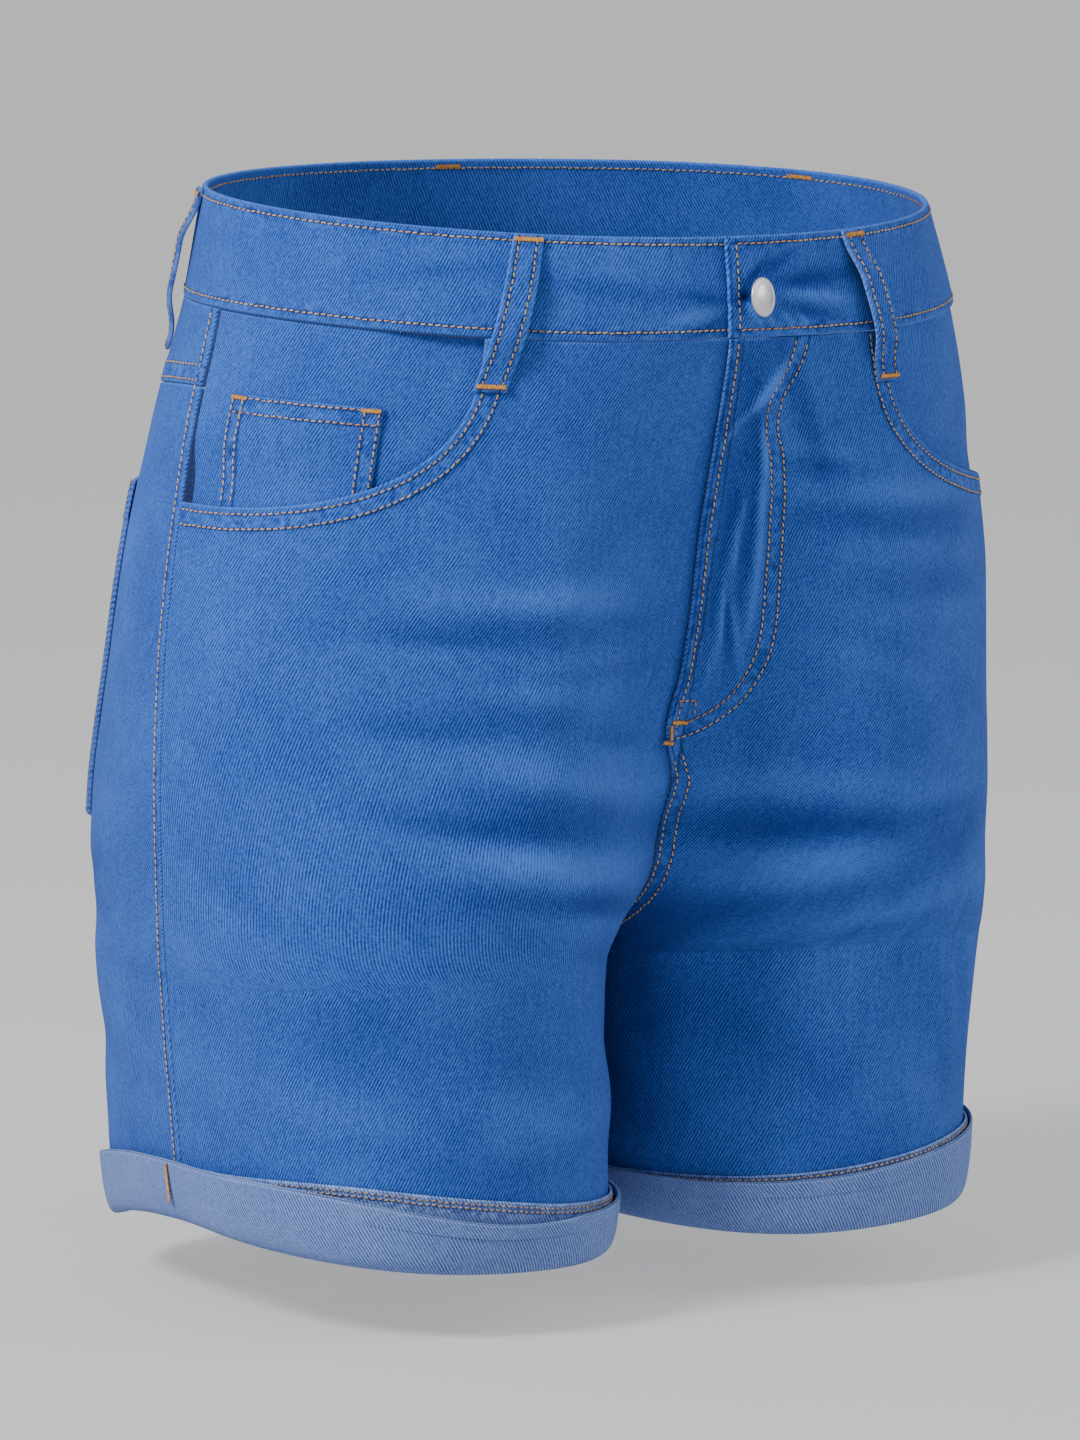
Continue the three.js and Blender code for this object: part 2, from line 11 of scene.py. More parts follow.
import bpy
import numpy as np
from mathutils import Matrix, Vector

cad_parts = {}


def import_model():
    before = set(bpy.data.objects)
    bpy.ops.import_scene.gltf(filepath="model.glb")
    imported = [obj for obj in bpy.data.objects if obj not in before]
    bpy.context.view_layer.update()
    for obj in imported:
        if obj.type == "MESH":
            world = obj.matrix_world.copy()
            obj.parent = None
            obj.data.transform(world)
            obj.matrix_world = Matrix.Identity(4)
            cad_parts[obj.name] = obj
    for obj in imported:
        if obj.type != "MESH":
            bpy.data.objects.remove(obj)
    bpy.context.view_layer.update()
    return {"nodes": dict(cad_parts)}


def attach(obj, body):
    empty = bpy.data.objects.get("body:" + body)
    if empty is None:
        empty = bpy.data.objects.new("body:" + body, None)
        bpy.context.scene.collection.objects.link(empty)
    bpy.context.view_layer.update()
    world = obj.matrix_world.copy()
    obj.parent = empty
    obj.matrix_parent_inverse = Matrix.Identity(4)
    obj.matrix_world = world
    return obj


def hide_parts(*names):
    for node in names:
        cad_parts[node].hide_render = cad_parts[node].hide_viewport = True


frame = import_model()
rng = np.random.default_rng(7)

MM = 0.001
BAND_HEIGHT = 40.0
CROTCH_DROP = 292.0
OUTSEAM = 388.0
CLOTH = 1.6
BAND_CLOTH = 2.4
FACING_CLOTH = 1.2
SEAM_GAP = 0.3
LAYER_GAP = 0.5
TUCK_GAP = 1.0
HALF_GIRTH = 475.0
SEAM = SEAM_GAP / 2 / HALF_GIRTH
SIDES = {"right": -1, "left": 1}

# The body of the shorts, level by level.
LEVELS = {
    "drop": [0, 40, 90, 150, 210, 250, 290, 340, 388],
    "half_width": [149, 158, 169, 178, 179, 177, 173, 166, 161],
    "front": [109, 116, 118, 115, 109, 107, 106, 108, 110],
    "back": [104, 115, 130, 149, 154, 145, 128, 121, 118],
    "middle": [-9, -12, -10, -10, -7, -3, 3, 8, 9],
    "hollow": [0, 7, 16, 27, 32, 26, 12, 0, 0],
}
BALANCE = {
    "drop": [0, 40, 290, 388],
    "tip": [0.10, 0.06, -0.03, 0.02],
    "bow": [-2, -3, 3, -3],
    "square": [0, 0, 0.03, 0.06],
}
FRONT_VALLEY = 126.0
BACK_VALLEY = 136.0
CROTCH_ROUND = 20.0
LEG_SPREAD = 6.0
HOLLOW_REACH = 85.0
OUTWARD_STEP = 0.004
FLY_END = 222.0
FLY_FLAT = 246.0
FLY_RISE = CLOTH + 0.8
FLY_WIDTH = 0.05

# Large soft folds. The columns are across, drop, reach, width, turn in degrees and height.
FOLDS = [
    (-0.15, 147, 40, 9, 1, 1.9),
    (-0.15, 184, 30, 8, 5, 1.2),
    (-0.12, 221, 44, 9, 10, 1.9),
    (-0.15, 240, 40, 8, 7, -1.7),
    (-0.15, 256, 38, 9, 5, 2.4),
    (-0.33, 318, 55, 15, 10, -1.5),
    (-0.16, 345, 45, 12, -12, 1.6),
    (0.08, 230, 36, 9, 3, 1.8),
    (0.10, 248, 44, 8, 2, -2.1),
    (0.09, 266, 42, 9, -1, 2.3),
    (0.26, 262, 60, 14, -5, -1.6),
    (0.34, 300, 26, 9, 78, 1.2),
    (0.30, 338, 40, 10, 62, -1.4),
    (0.13, 330, 45, 12, 20, -1.5),
    (-0.72, 281, 70, 14, -7, -2.8),
    (-0.80, 308, 60, 14, -12, 1.8),
    (-0.64, 322, 45, 12, 15, -1.6),
    (0.74, 280, 66, 14, 8, -2.6),
    (0.82, 307, 62, 14, 13, 1.9),
    (0.67, 318, 44, 12, -18, -1.7),
]

# Smaller creases, in the same columns.
CREASES = [
    (-0.23, 160, 30, 5, 4, -0.7),
    (-0.10, 170, 26, 5, -2, 0.5),
    (-0.22, 197, 30, 6, 6, -0.6),
    (-0.07, 205, 22, 5, 12, -0.6),
    (-0.24, 233, 34, 6, 14, -0.6),
    (-0.11, 270, 34, 6, 6, -1.2),
    (-0.41, 262, 30, 7, 40, -0.5),
    (-0.25, 330, 36, 7, 4, -0.6),
    (-0.38, 341, 34, 7, 12, 0.6),
    (-0.10, 326, 30, 6, 34, -0.7),
    (0.16, 111, 52, 7, 4, 1.3),
    (0.077, 90, 18, 5, 12, 0.8),
    (0.17, 126, 46, 7, 5, -0.9),
    (0.20, 152, 44, 8, 3, -0.8),
    (0.13, 172, 34, 6, 20, -0.4),
    (0.22, 236, 46, 6, -4, 0.6),
    (0.24, 280, 50, 6, -9, 0.6),
    (0.11, 312, 30, 9, 104, 1.2),
    (0.07, 306, 34, 7, 84, -1.0),
    (0.36, 276, 24, 4, 84, 0.5),
    (0.38, 300, 30, 4, 88, -0.5),
    (0.40, 322, 26, 4, 80, 0.5),
    (0.33, 318, 28, 4, 74, -0.6),
    (-0.60, 150, 34, 7, 60, 0.5),
    (-0.66, 262, 42, 7, -10, -0.7),
    (-0.88, 272, 34, 6, 22, -0.8),
    (-0.92, 250, 26, 6, 40, -0.6),
    (-0.76, 334, 34, 7, 6, 0.6),
    (0.61, 156, 34, 7, -58, 0.5),
    (0.67, 264, 42, 7, 9, -0.6),
    (0.88, 270, 34, 6, -24, -0.8),
    (0.93, 248, 26, 6, -42, -0.5),
    (0.78, 332, 34, 7, -8, 0.6),
]

# Fine upright crinkles on the outer side of the left leg.
CRINKLES = [
    (0.19 + 0.013 * k, 288 + 15 * (k % 4), 22, 2.6, 88 - 2 * (k % 3), 0.4 * (-1) ** k)
    for k in range(11)
]

# Sharp little pleats between the fly's edge and its rows of stitches, on the left front alone.
FLY_CREASES = [
    (0.0240, 64, 19, 2.2, -53, 2.4),
    (0.0150, 86, 22, 5.5, 88, -2.3),
    (0.0285, 86, 13, 1.6, 78, 1.4),
    (0.0330, 112, 26, 1.6, 86, 1.3),
    (0.0355, 148, 20, 1.5, 90, 1.0),
    (0.0110, 98, 8, 1.3, 78, 0.8),
    (0.0195, 109, 9, 1.5, 88, 0.8),
    (0.0160, 126, 14, 1.7, 90, 0.9),
    (0.0130, 157, 17, 1.3, 86, 1.0),
    (0.0250, 160, 15, 1.3, 76, 0.9),
    (0.0100, 178, 8, 1.3, 92, 0.6),
    (0.0255, 128, 24, 2.4, 90, -0.9),
    (0.0060, 132, 30, 2.4, 92, -0.8),
    (0.0195, 158, 18, 1.6, 82, -0.7),
    (0.0580, 70, 30, 4.0, 70, -0.8),
]

# The waistband is drawn in at the buttonhole, and creases run out from it.
BAND_CREASES = [
    (0.0030, 24.0, 2.4, 2.6, 0, -1.9),
    (0.0095, 30.0, 6, 1.7, 62, 1.5),
    (0.0170, 12.5, 9, 1.6, -46, -1.3),
    (0.0210, 9.5, 8, 1.7, -40, 0.9),
    (0.0330, 12.5, 9, 2.2, -25, -0.8),
    (0.0260, 35.0, 5, 1.3, 57, 1.0),
    (0.0420, 34.0, 7, 1.5, 52, 0.9),
    (0.0560, 34.0, 6, 1.5, 55, 0.8),
    (0.0750, 25.5, 17, 2.2, 8, 0.9),
    (0.0700, 18.5, 22, 3.4, -4, -1.1),
    (0.0620, 31.0, 15, 2.6, 12, -0.9),
    (-0.0300, 24.0, 14, 2.4, 10, -0.8),
    (-0.0420, 31.0, 15, 2.4, -14, 0.8),
    (-0.0300, 36.0, 10, 1.6, -24, -0.9),
    (-0.1100, 21.0, 30, 4.0, 8, -0.5),
    (-0.2600, 17.0, 30, 4.0, -8, -0.4),
]
BUTTONHOLE = {"across": 0.0030, "drop": 24.0, "size": 1.5}


def smooth(x, low, high):
    t = np.clip((x - low) / (high - low), 0, 1)
    return t * t * (3 - 2 * t)


def lerp(a, b, t):
    return a + (b - a) * t


def grids(*values):
    return np.broadcast_arrays(*(np.asarray(v, float) for v in values))


def wrap(across):
    """The same place, with across between -1 and 1."""
    return np.where(across > 1, across - 2, np.where(across < -1, across + 2, across))


def run(points, axis=0):
    """Distances along lines of points, from 0 at the start of the axis."""
    steps = np.linalg.norm(np.diff(points, axis=axis), axis=-1)
    start = np.zeros_like(np.take(steps, [0], axis))
    return np.concatenate([start, np.cumsum(steps, axis=axis)], axis=axis)


def read(table, drop, column):
    """Values of a table between its rows, on a smooth curve through them."""
    x, v = np.array(table["drop"], float), np.array(table[column], float)
    last = len(x) - 1
    low, high = np.maximum(np.arange(last + 1) - 1, 0), np.minimum(np.arange(last + 1) + 1, last)
    slope = (v[high] - v[low]) / (x[high] - x[low])
    i = np.clip(np.searchsorted(x, drop, side="right") - 1, 0, last - 1)
    step = x[i + 1] - x[i]
    s = (drop - x[i]) / step
    bend = s * s * (3 - 2 * s)
    enter, leave = s * (1 - s) ** 2 * step * slope[i], s * s * (1 - s) * step * slope[i + 1]
    return lerp(v[i], v[i + 1], bend) + enter - leave


def body_point(across, drop):
    """The bare body of the shorts, in millimetres: one open arc a side, closing into the legs."""
    across, drop = grids(across, drop)
    place = wrap(across)
    side = np.where(place < 0, -1.0, 1.0)
    u = np.abs(place)
    wide = read(LEVELS, drop, "half_width")
    square = read(BALANCE, drop, "square")
    above = CROTCH_DROP - drop
    rise = np.where(above > 0, above**2 / (np.maximum(above, 0) + CROTCH_ROUND), 0)
    valley_front = (1 - np.clip(rise / FRONT_VALLEY, 0, 1)) ** 2
    valley_back = (1 - np.clip(rise / BACK_VALLEY, 0, 1)) ** 2
    angle = lerp(-np.arcsin(valley_front), np.pi + np.arcsin(valley_back), u)
    in_front = angle < np.pi / 2
    valley = np.where(in_front, valley_front, valley_back)
    spread = LEG_SPREAD * np.clip(-above / (OUTSEAM - CROTCH_DROP), 0, 1)
    radius = np.where(above >= 0, wide / (1 + valley), (wide - spread) / 2)
    centre = np.where(above >= 0, valley * wide / (1 + valley), (wide + spread) / 2)
    corner = np.where((angle > 0) & (angle < np.pi), 1, smooth(-above, 0, 60))
    swell = 1 + square * corner * np.sin(2 * angle) ** 2
    x = centre + radius * np.sin(angle) * swell
    depth = np.where(in_front, read(LEVELS, drop, "front"), read(LEVELS, drop, "back"))
    y = read(LEVELS, drop, "middle") - depth * np.cos(angle) * swell
    near = np.cos(np.pi / 2 * np.clip(np.abs(x) / HOLLOW_REACH, 0, 1)) ** 2
    y = y + np.where(in_front, read(LEVELS, drop, "hollow") * smooth(above, 0, 60) * near, 0)
    z = BAND_HEIGHT / 2 - drop + read(BALANCE, drop, "tip") * y
    z = z + read(BALANCE, drop, "bow") * (y / 100) ** 2
    return np.stack([side * (x + SEAM_GAP / 2), y, z], axis=-1)


def unit(v):
    return v / np.maximum(np.linalg.norm(v, axis=-1, keepdims=True), 1e-12)


def outward(across, drop):
    """The direction out of the cloth, from the body's points on both sides of a place."""
    across, drop = grids(across, drop)
    low, high = across - OUTWARD_STEP, across + OUTWARD_STEP
    side = np.where(across < 0, -1.0, 1.0)
    kept = drop > FLY_END
    low = np.where(kept, side * np.clip(side * low, 0.0001, 0.9999), low)
    high = np.where(kept, side * np.clip(side * high, 0.0001, 0.9999), high)
    rising = drop <= CROTCH_DROP
    down = np.where(rising, np.minimum(drop + 1, CROTCH_DROP), drop + 1)
    up = np.where(rising, drop - 1, np.maximum(drop - 1, CROTCH_DROP))
    along = body_point(high, drop) - body_point(low, drop)
    fall = body_point(across, down) - body_point(across, up)
    return unit(np.cross(fall, along))


# How the denim's tone follows its folds, for each millimetre of height (ridges paled by fading,
# troughs darkened as painted shade) and of slope (painted light on the upper side of each fold,
# painted shade below it), how much less of it there is low on the legs, and how much painted shade
# lies between the legs.
PAINTED_LIGHT_STEP = 3.0
RIDGE_FADING_AND_TROUGH_SHADE = 0.05
PAINTED_LIGHT_BY_SLOPE = 1.1
FOLD_TONE_LOSS = 0.6
# Painted shade between the legs: a share for each leg, its reach from the centre line, and the drops
# where it sets in and where it ends.
PAINTED_LEG_GAP_SHADE = {"left": 0.85, "right": 0.12}
PAINTED_LEG_GAP_REACH = 0.11
PAINTED_LEG_GAP_FROM = (256, 296)
PAINTED_LEG_GAP_TO = (320, 385)
FOLD_TONE_FADE = (275, 325)

# Where the folds flatten out: towards the inseam, above the cuffs, and the fine waves after them.
INSEAM_REACH = 0.06
INSEAM_TOP = 235
FOLDS_FADE = (345, 368)
RIPPLE_FADE = (350, 372)


def fold_height(across, drop, table):
    """The height of a table's folds, fading out at the inseam and above the cuffs."""
    height = np.zeros(np.broadcast(across, drop).shape)
    for at, level, reach, width, turn, tall in table:
        sideways, below = (across - at) * HALF_GIRTH, drop - level
        c, s = math.cos(math.radians(turn)), math.sin(math.radians(turn))
        along, over = sideways * c + below * s, below * c - sideways * s
        height = height + tall * np.exp(-((along / reach) ** 2) - (over / width) ** 2)
    u = np.abs(across)
    near_inseam = 1 - smooth(u, 0, INSEAM_REACH) * smooth(1 - u, 0, INSEAM_REACH)
    in_leg = 1 - near_inseam * smooth(drop, INSEAM_TOP, CROTCH_DROP)
    return height * in_leg * (1 - smooth(drop, *FOLDS_FADE))


def relief(across, drop):
    return sum(fold_height(across, drop, table) for table in (FOLDS, CREASES, CRINKLES))


def fold_wear_and_painted_light(across, drop):
    """Fading on the ridges, painted light above each fold and painted shade below it and between the
    legs.
    """
    height = relief(across, drop)
    slope = (height - relief(across, drop - PAINTED_LIGHT_STEP)) / PAINTED_LIGHT_STEP
    # Height pales the ridges by fading and darkens the troughs as painted shade; slope paints light
    # above each crest and shade below it.
    worn_and_painted_light = RIDGE_FADING_AND_TROUGH_SHADE * height + PAINTED_LIGHT_BY_SLOPE * slope
    worn_and_painted_light = worn_and_painted_light * (1 - FOLD_TONE_LOSS * smooth(drop, *FOLD_TONE_FADE))
    # Painted shade between the legs, heavier on the left leg, which lies in the right leg's shadow.
    dark = np.where(across > 0, PAINTED_LEG_GAP_SHADE["left"], PAINTED_LEG_GAP_SHADE["right"])
    inner = 1 - smooth(np.abs(across), 0.0, PAINTED_LEG_GAP_REACH)
    return worn_and_painted_light - dark * inner * smooth(drop, *PAINTED_LEG_GAP_FROM) * (1 - smooth(drop, *PAINTED_LEG_GAP_TO))


def ripple(across, drop):
    """Low uneven waves all over the cloth, from a few crossing sines."""
    s, d = across * HALF_GIRTH, drop
    wave = np.sin(s / 19 + 1.3 * np.sin(d / 31 + 0.4)) * np.sin(d / 15 + 1.7 * np.sin(s / 43))
    fine = np.sin(s / 7.3 + 2 * np.sin(d / 17)) * np.sin(d / 9.1 + 1.4 * np.sin(s / 12.7 + 1))
    return 0.16 * wave + 0.05 * fine


def on_cloth(across, drop, lift):
    """A point in millimetres, lift millimetres outside the cloth's outer face."""
    height = relief(across, drop) + ripple(across, drop) * (1 - smooth(drop, *RIPPLE_FADE))
    return body_point(across, drop) + outward(across, drop) * (lift + height)[..., None]


def leg_end(across):
    """The drop of the leg's turned-up end, shorter at the side tack and longer behind."""
    u = np.abs(across)
    tack = 1.5 * np.exp(-(((u - 0.5) / 0.035) ** 2))
    behind = np.where(across < 0, 11, 6) * smooth(u, 0.53, 0.66) * (1 - smooth(u, 0.82, 0.98))
    return OUTSEAM - tack + 3 * np.cos(2 * np.pi * u) + behind


# Front pockets

POCKET_NEAR = {"right": 0.217, "left": 0.144}
POCKET_DROP = 111.5
POCKET_ROUND = 3
POCKET_TUCK = 1.14
BAG_DROP = 215.0
COIN = {"top": 69.5, "near": 0.2915, "far": 0.448, "tuck": 1.07}
COIN_ROW = 1.2
COIN_SCALE = 430


def pocket_edge(side, angle, scale=1.0):
    """The edge of the corner that a pocket's mouth leaves in the front, as distance and drop."""
    top = BAND_HEIGHT + SEAM_GAP
    c, s = np.clip(np.cos(angle), 0, 1), np.clip(np.sin(angle), 0, 1)
    reach = scale / (c**POCKET_ROUND + s**POCKET_ROUND) ** (1 / POCKET_ROUND)
    seam = 0.5 - SEAM
    return seam - (seam - POCKET_NEAR[side]) * reach * c, top + (POCKET_DROP - top) * reach * s


def facing_lift(side, u, drop):
    """A facing lies level in the pocket's mouth and dips under the front beyond its edge."""
    a = np.maximum((0.5 - u) / (0.5 - POCKET_NEAR[side]), 0)
    b = np.maximum((drop - BAND_HEIGHT) / (POCKET_DROP - BAND_HEIGHT), 0)
    reach = (a**POCKET_ROUND + b**POCKET_ROUND) ** (1 / POCKET_ROUND)
    layers = 2 if side == "right" else 1
    under = -CLOTH - TUCK_GAP - (layers - 1) * (FACING_CLOTH + LAYER_GAP)
    return lerp(-0.7 - 0.4 * layers, under, smooth(reach, 0.62, 0.92))


# Real lengths along the cloth, measured once on the bare body, for the weave's own coordinates.
MAP_ACROSS = np.linspace(0, 1, 241)
MAP_DROP = np.linspace(-8, 402, 206)


def measure_cloth():
    points = body_point(MAP_ACROSS[None, :], MAP_DROP[:, None])
    return run(points, axis=1), run(points)


ALONG, DOWN = measure_cloth()


def look_up(table, u, drop):
    i = np.clip((drop - MAP_DROP[0]) / (MAP_DROP[1] - MAP_DROP[0]), 0, len(MAP_DROP) - 1.001)
    j = np.clip(u / (MAP_ACROSS[1] - MAP_ACROSS[0]), 0, len(MAP_ACROSS) - 1.001)
    i0, j0 = i.astype(int), j.astype(int)
    fi, fj = i - i0, j - j0
    top = lerp(table[i0, j0], table[i0, j0 + 1], fj)
    return lerp(top, lerp(table[i0 + 1, j0], table[i0 + 1, j0 + 1], fj), fi)


def along_from(at, u, drop):
    """Millimetres along the cloth from the line at one across to each place."""
    return look_up(ALONG, u, drop) - look_up(ALONG, np.full_like(u, at), drop)


def scale_across(across, drop, step=0.001):
    """Millimetres along the cloth for a whole step of 1 across."""
    apart = body_point(across + step, drop) - body_point(across - step, drop)
    return np.linalg.norm(apart, axis=-1) / (2 * step)


def weave_place(across, drop, grain):
    """Millimetres along and down the cloth from the grain line, which runs down at that across."""
    across, drop = grids(across, drop)
    place = wrap(across)
    u = np.abs(place)
    side = np.where(place < 0, -1.0, 1.0)
    return side * along_from(grain, u, drop), look_up(DOWN, u, drop)


# Meshes

FAR = 99.0
EDGE_ROUND = 0.46
EDGE_LINES = np.array([0, 0.12, 0.35, 0.8, 1.5])


def to_object(name, vertices, faces, attributes=None, angle=50):
    mesh = bpy.data.meshes.new(name)
    mesh.from_pydata(np.asarray(vertices, float) * MM, [], faces)
    mesh.validate()
    mesh.polygons.foreach_set("use_smooth", [True] * len(mesh.polygons))
    for key, values in (attributes or {}).items():
        made = mesh.attributes.new(key, "FLOAT_VECTOR", "POINT")
        made.data.foreach_set("vector", np.asarray(values, np.float32).ravel())
    mesh.set_sharp_from_angle(angle=math.radians(angle))
    mesh.update()
    made = bpy.data.objects.new(name, mesh)
    bpy.context.scene.collection.objects.link(made)
    return made


def grid_faces(rows, columns, start=0, flip=False, ring=False):
    i, j = np.meshgrid(np.arange(rows - 1), np.arange(columns if ring else columns - 1), indexing="ij")
    k = (j + 1) % columns
    quads = np.stack(
        [i * columns + j, (i + 1) * columns + j, (i + 1) * columns + k, i * columns + k], axis=-1
    ).reshape(-1, 4)
    return (quads[:, ::-1] if flip else quads) + start


def border(rows, columns):
    """The indices round a grid's edge, in order."""
    at = np.arange(rows * columns).reshape(rows, columns)
    return np.concatenate([at[:, 0], at[-1, 1:], at[-2::-1, -1], at[0, -2:0:-1]])


def edge_distance(points):
    """Millimetres from each grid point to the first and last column and the first and last row."""
    across, down = run(points, axis=1), run(points)
    return across, across[:, -1:] - across, down, down[-1:] - down


def roll(distance, radius):
    """How far a rounded edge falls away at that distance from it."""
    d = np.clip(distance, 0, radius)
    return radius - np.sqrt(np.maximum(radius**2 - (radius - d) ** 2, 0))


def both_faces(shape, *pairs):
    """A vector for each point of a shell, from three pairs of values outside and inside."""
    flat = [[np.broadcast_to(value, shape).ravel() for value in pair] for pair in pairs]
    return np.stack([np.concatenate(pair) for pair in flat], axis=-1)


def shell(
    name, across, drop, lift, thickness, grain, edge=None, doubles=(), singles=(), seat=0.0, wear_and_painted_light=None
):
    """A closed wall of cloth over a grid of places, its edges rounded.

    edge holds millimetres to one more edge, seat moves the inner face, inwards where it is below 0,
    and wear takes the place of the folds' own tone, part fading and part painted light and shade.
    doubles and singles are grids of signed millimetres to rows of stitches, which the denim's material
    presses in and darkens with painted shade. The second line of a double row lies STITCH_PAIR further
    on.
    """
    rows, columns = across.shape
    count = rows * columns
    distances = edge_distance(on_cloth(across, drop, lift - thickness / 2))
    near = np.minimum.reduce([*distances] if edge is None else [*distances, edge])
    fall = roll(near, EDGE_ROUND * thickness)
    outer = on_cloth(across, drop, lift - fall)
    inner = on_cloth(across, drop, lift - thickness + fall + seat)
    loop = border(rows, columns)
    nxt = np.roll(loop, -1)
    rim = np.stack([loop, loop + count, nxt + count, nxt], axis=-1)[:, ::-1]
    faces = [grid_faces(rows, columns), grid_faces(rows, columns, count, flip=True), rim]
    along, down = weave_place(across, drop, grain)
    wear_and_painted_light = fold_wear_and_painted_light(across, drop) if wear_and_painted_light is None else wear_and_painted_light

    attributes = {
        "cloth": both_faces(across.shape, (along, along), (down, down), (0, 1)),
        "border": both_faces(across.shape, (near, near), (0, 0), (wear_and_painted_light, wear_and_painted_light)),
        "doubles": both_faces(across.shape, *((v, FAR) for v in (*doubles, FAR, FAR, FAR)[:3])),
        "singles": both_faces(across.shape, *((v, FAR) for v in (*singles, FAR, FAR, FAR)[:3])),
    }
    points = np.concatenate([outer.reshape(-1, 3), inner.reshape(-1, 3)])
    made = to_object(name, points, np.concatenate(faces).tolist(), attributes)
    made["area_m2"] = cloth_area(outer)
    made["wide_m"] = float(np.max(distances[0][:, -1])) * MM
    made["long_m"] = float(np.max(distances[2][-1])) * MM
    return made


def set_weave(made, along, down):
    """Gives a shell folded from one strip its own weave coordinates, the right side all round."""
    values = np.stack([np.tile(v.ravel(), 2) for v in (along, down, np.zeros(along.shape))], axis=-1)
    made.data.attributes["cloth"].data.foreach_set("vector", values.astype(np.float32).ravel())
    return made


def set_shade(made, shade):
    """Paints shade on a shell's outer face by a grid of shares from 0 to 1."""
    count = shade.size
    held = made.data.attributes["border"].data
    values = np.zeros(2 * count * 3, np.float32)
    held.foreach_get("vector", values)
    values = values.reshape(-1, 3)
    values[:count, 1] = shade.ravel()
    held.foreach_set("vector", values.ravel())
    return made


def cloth_area(points):
    """Square metres of a grid of points in millimetres."""
    a, b = points[1:, 1:] - points[:-1, :-1], points[1:, :-1] - points[:-1, 1:]
    return float(np.linalg.norm(np.cross(a, b), axis=-1).sum() / 2) * MM * MM


def lines(length, step=2.0):
    """Grid lines from 0 to 1 over a length, closer together at both ends."""
    inner = np.arange(EDGE_LINES[-1] + step, length - EDGE_LINES[-1] - step / 2, step)
    return np.unique(np.concatenate([EDGE_LINES, inner, length - EDGE_LINES])) / length


def denser(places, fine, gap):
    """Grid lines with finer ones in place of those near the start."""
    return np.unique(np.concatenate([places[places < fine[0]], fine, places[places > fine[-1] + gap]]))


def line_distance(points, line):
    """Millimetres from each point to a line of points."""
    flat = points.reshape(-1, 3)
    start, step = line[:-1], np.diff(line, axis=0)
    size = np.maximum((step**2).sum(1), 1e-9)
    best = np.full(len(flat), np.inf)
    for part in np.array_split(np.arange(len(flat)), max(1, len(flat) // 2000)):
        away = flat[part][:, None, :] - start[None]
        t = np.clip((away * step).sum(-1) / size, 0, 1)
        best[part] = np.linalg.norm(away - t[..., None] * step, axis=-1).min(1)
    return best.reshape(points.shape[:-1])


# Materials


def linear(r, g, b):
    """A screen colour from 0 to 255 as the linear colour that a node takes."""
    c = np.array([r, g, b]) / 255
    low = c / 12.92
    high = ((c + 0.055) / 1.055) ** 2.4
    return (*np.where(c <= 0.04045, low, high), 1.0)


class Nodes:
    """Adds nodes to one material, taking numbers or sockets as their inputs."""

    def __init__(self, name):
        self.material = bpy.data.materials.new(name)
        self.material.use_nodes = True
        self.tree = self.material.node_tree
        self.shader = self.tree.nodes["Principled BSDF"]

    def put(self, socket, value):
        if isinstance(value, bpy.types.NodeSocket):
            self.tree.links.new(value, socket)
        else:
            socket.default_value = value

    def math(self, operation, a, b=0.0, c=0.0):
        node = self.tree.nodes.new("ShaderNodeMath")
        node.operation = operation
        for k, value in enumerate((a, b, c)):
            self.put(node.inputs[k], value)
        return node.outputs[0]

    def vector(self, operation, a, b=(0, 0, 0), c=(0, 0, 0)):
        node = self.tree.nodes.new("ShaderNodeVectorMath")
        node.operation = operation
        for k, value in enumerate((a, b, c)):
            self.put(node.inputs[k], value)
        return node.outputs["Value" if operation in ("DOT_PRODUCT", "LENGTH") else "Vector"]

    def attribute(self, name):
        node = self.tree.nodes.new("ShaderNodeAttribute")
        node.attribute_name = name
        return node.outputs["Vector"]

    def object_place(self):
        return self.tree.nodes.new("ShaderNodeTexCoord").outputs["Object"]

    def parts(self, vector):
        node = self.tree.nodes.new("ShaderNodeSeparateXYZ")
        self.put(node.inputs[0], vector)
        return node.outputs

    def join(self, x, y, z):
        node = self.tree.nodes.new("ShaderNodeCombineXYZ")
        for k, value in enumerate((x, y, z)):
            self.put(node.inputs[k], value)
        return node.outputs[0]

    def noise(self, vector, scale, detail=2.0, rough=0.5):
        node = self.tree.nodes.new("ShaderNodeTexNoise")
        self.put(node.inputs["Vector"], vector)
        node.inputs["Scale"].default_value = scale
        node.inputs["Detail"].default_value = detail
        node.inputs["Roughness"].default_value = rough
        return node.outputs["Fac"]

    def range(self, value, low, high, to_low, to_high):
        node = self.tree.nodes.new("ShaderNodeMapRange")
        node.interpolation_type = "SMOOTHSTEP"
        for k, v in enumerate((value, low, high, to_low, to_high)):
            self.put(node.inputs[k], v)
        return node.outputs[0]

    def mix(self, share, a, b):
        """A colour between two. The node's inputs 6 and 7 and its output 2 are those for colours."""
        node = self.tree.nodes.new("ShaderNodeMix")
        node.data_type = "RGBA"
        self.put(node.inputs["Factor"], share)
        self.put(node.inputs[6], a)
        self.put(node.inputs[7], b)
        return node.outputs[2]

    def bump(self, height, distance):
        node = self.tree.nodes.new("ShaderNodeBump")
        self.put(node.inputs["Height"], height)
        node.inputs["Distance"].default_value = distance
        node.inputs["Strength"].default_value = 1.0
        self.tree.links.new(node.outputs[0], self.shader.inputs["Normal"])

    def set(self, **values):
        for key, value in values.items():
            self.put(self.shader.inputs[key.replace("_", " ")], value)


STITCH_PAIR = 5.5
GROOVE_REACH = 0.9
TWILL_PITCH = 1.15
# Near-black blue, painted as shade into the buttonhole's opening.
PAINTED_SHADE_BLUE = linear(4, 12, 34)
METAL_GRAIN = 700.0


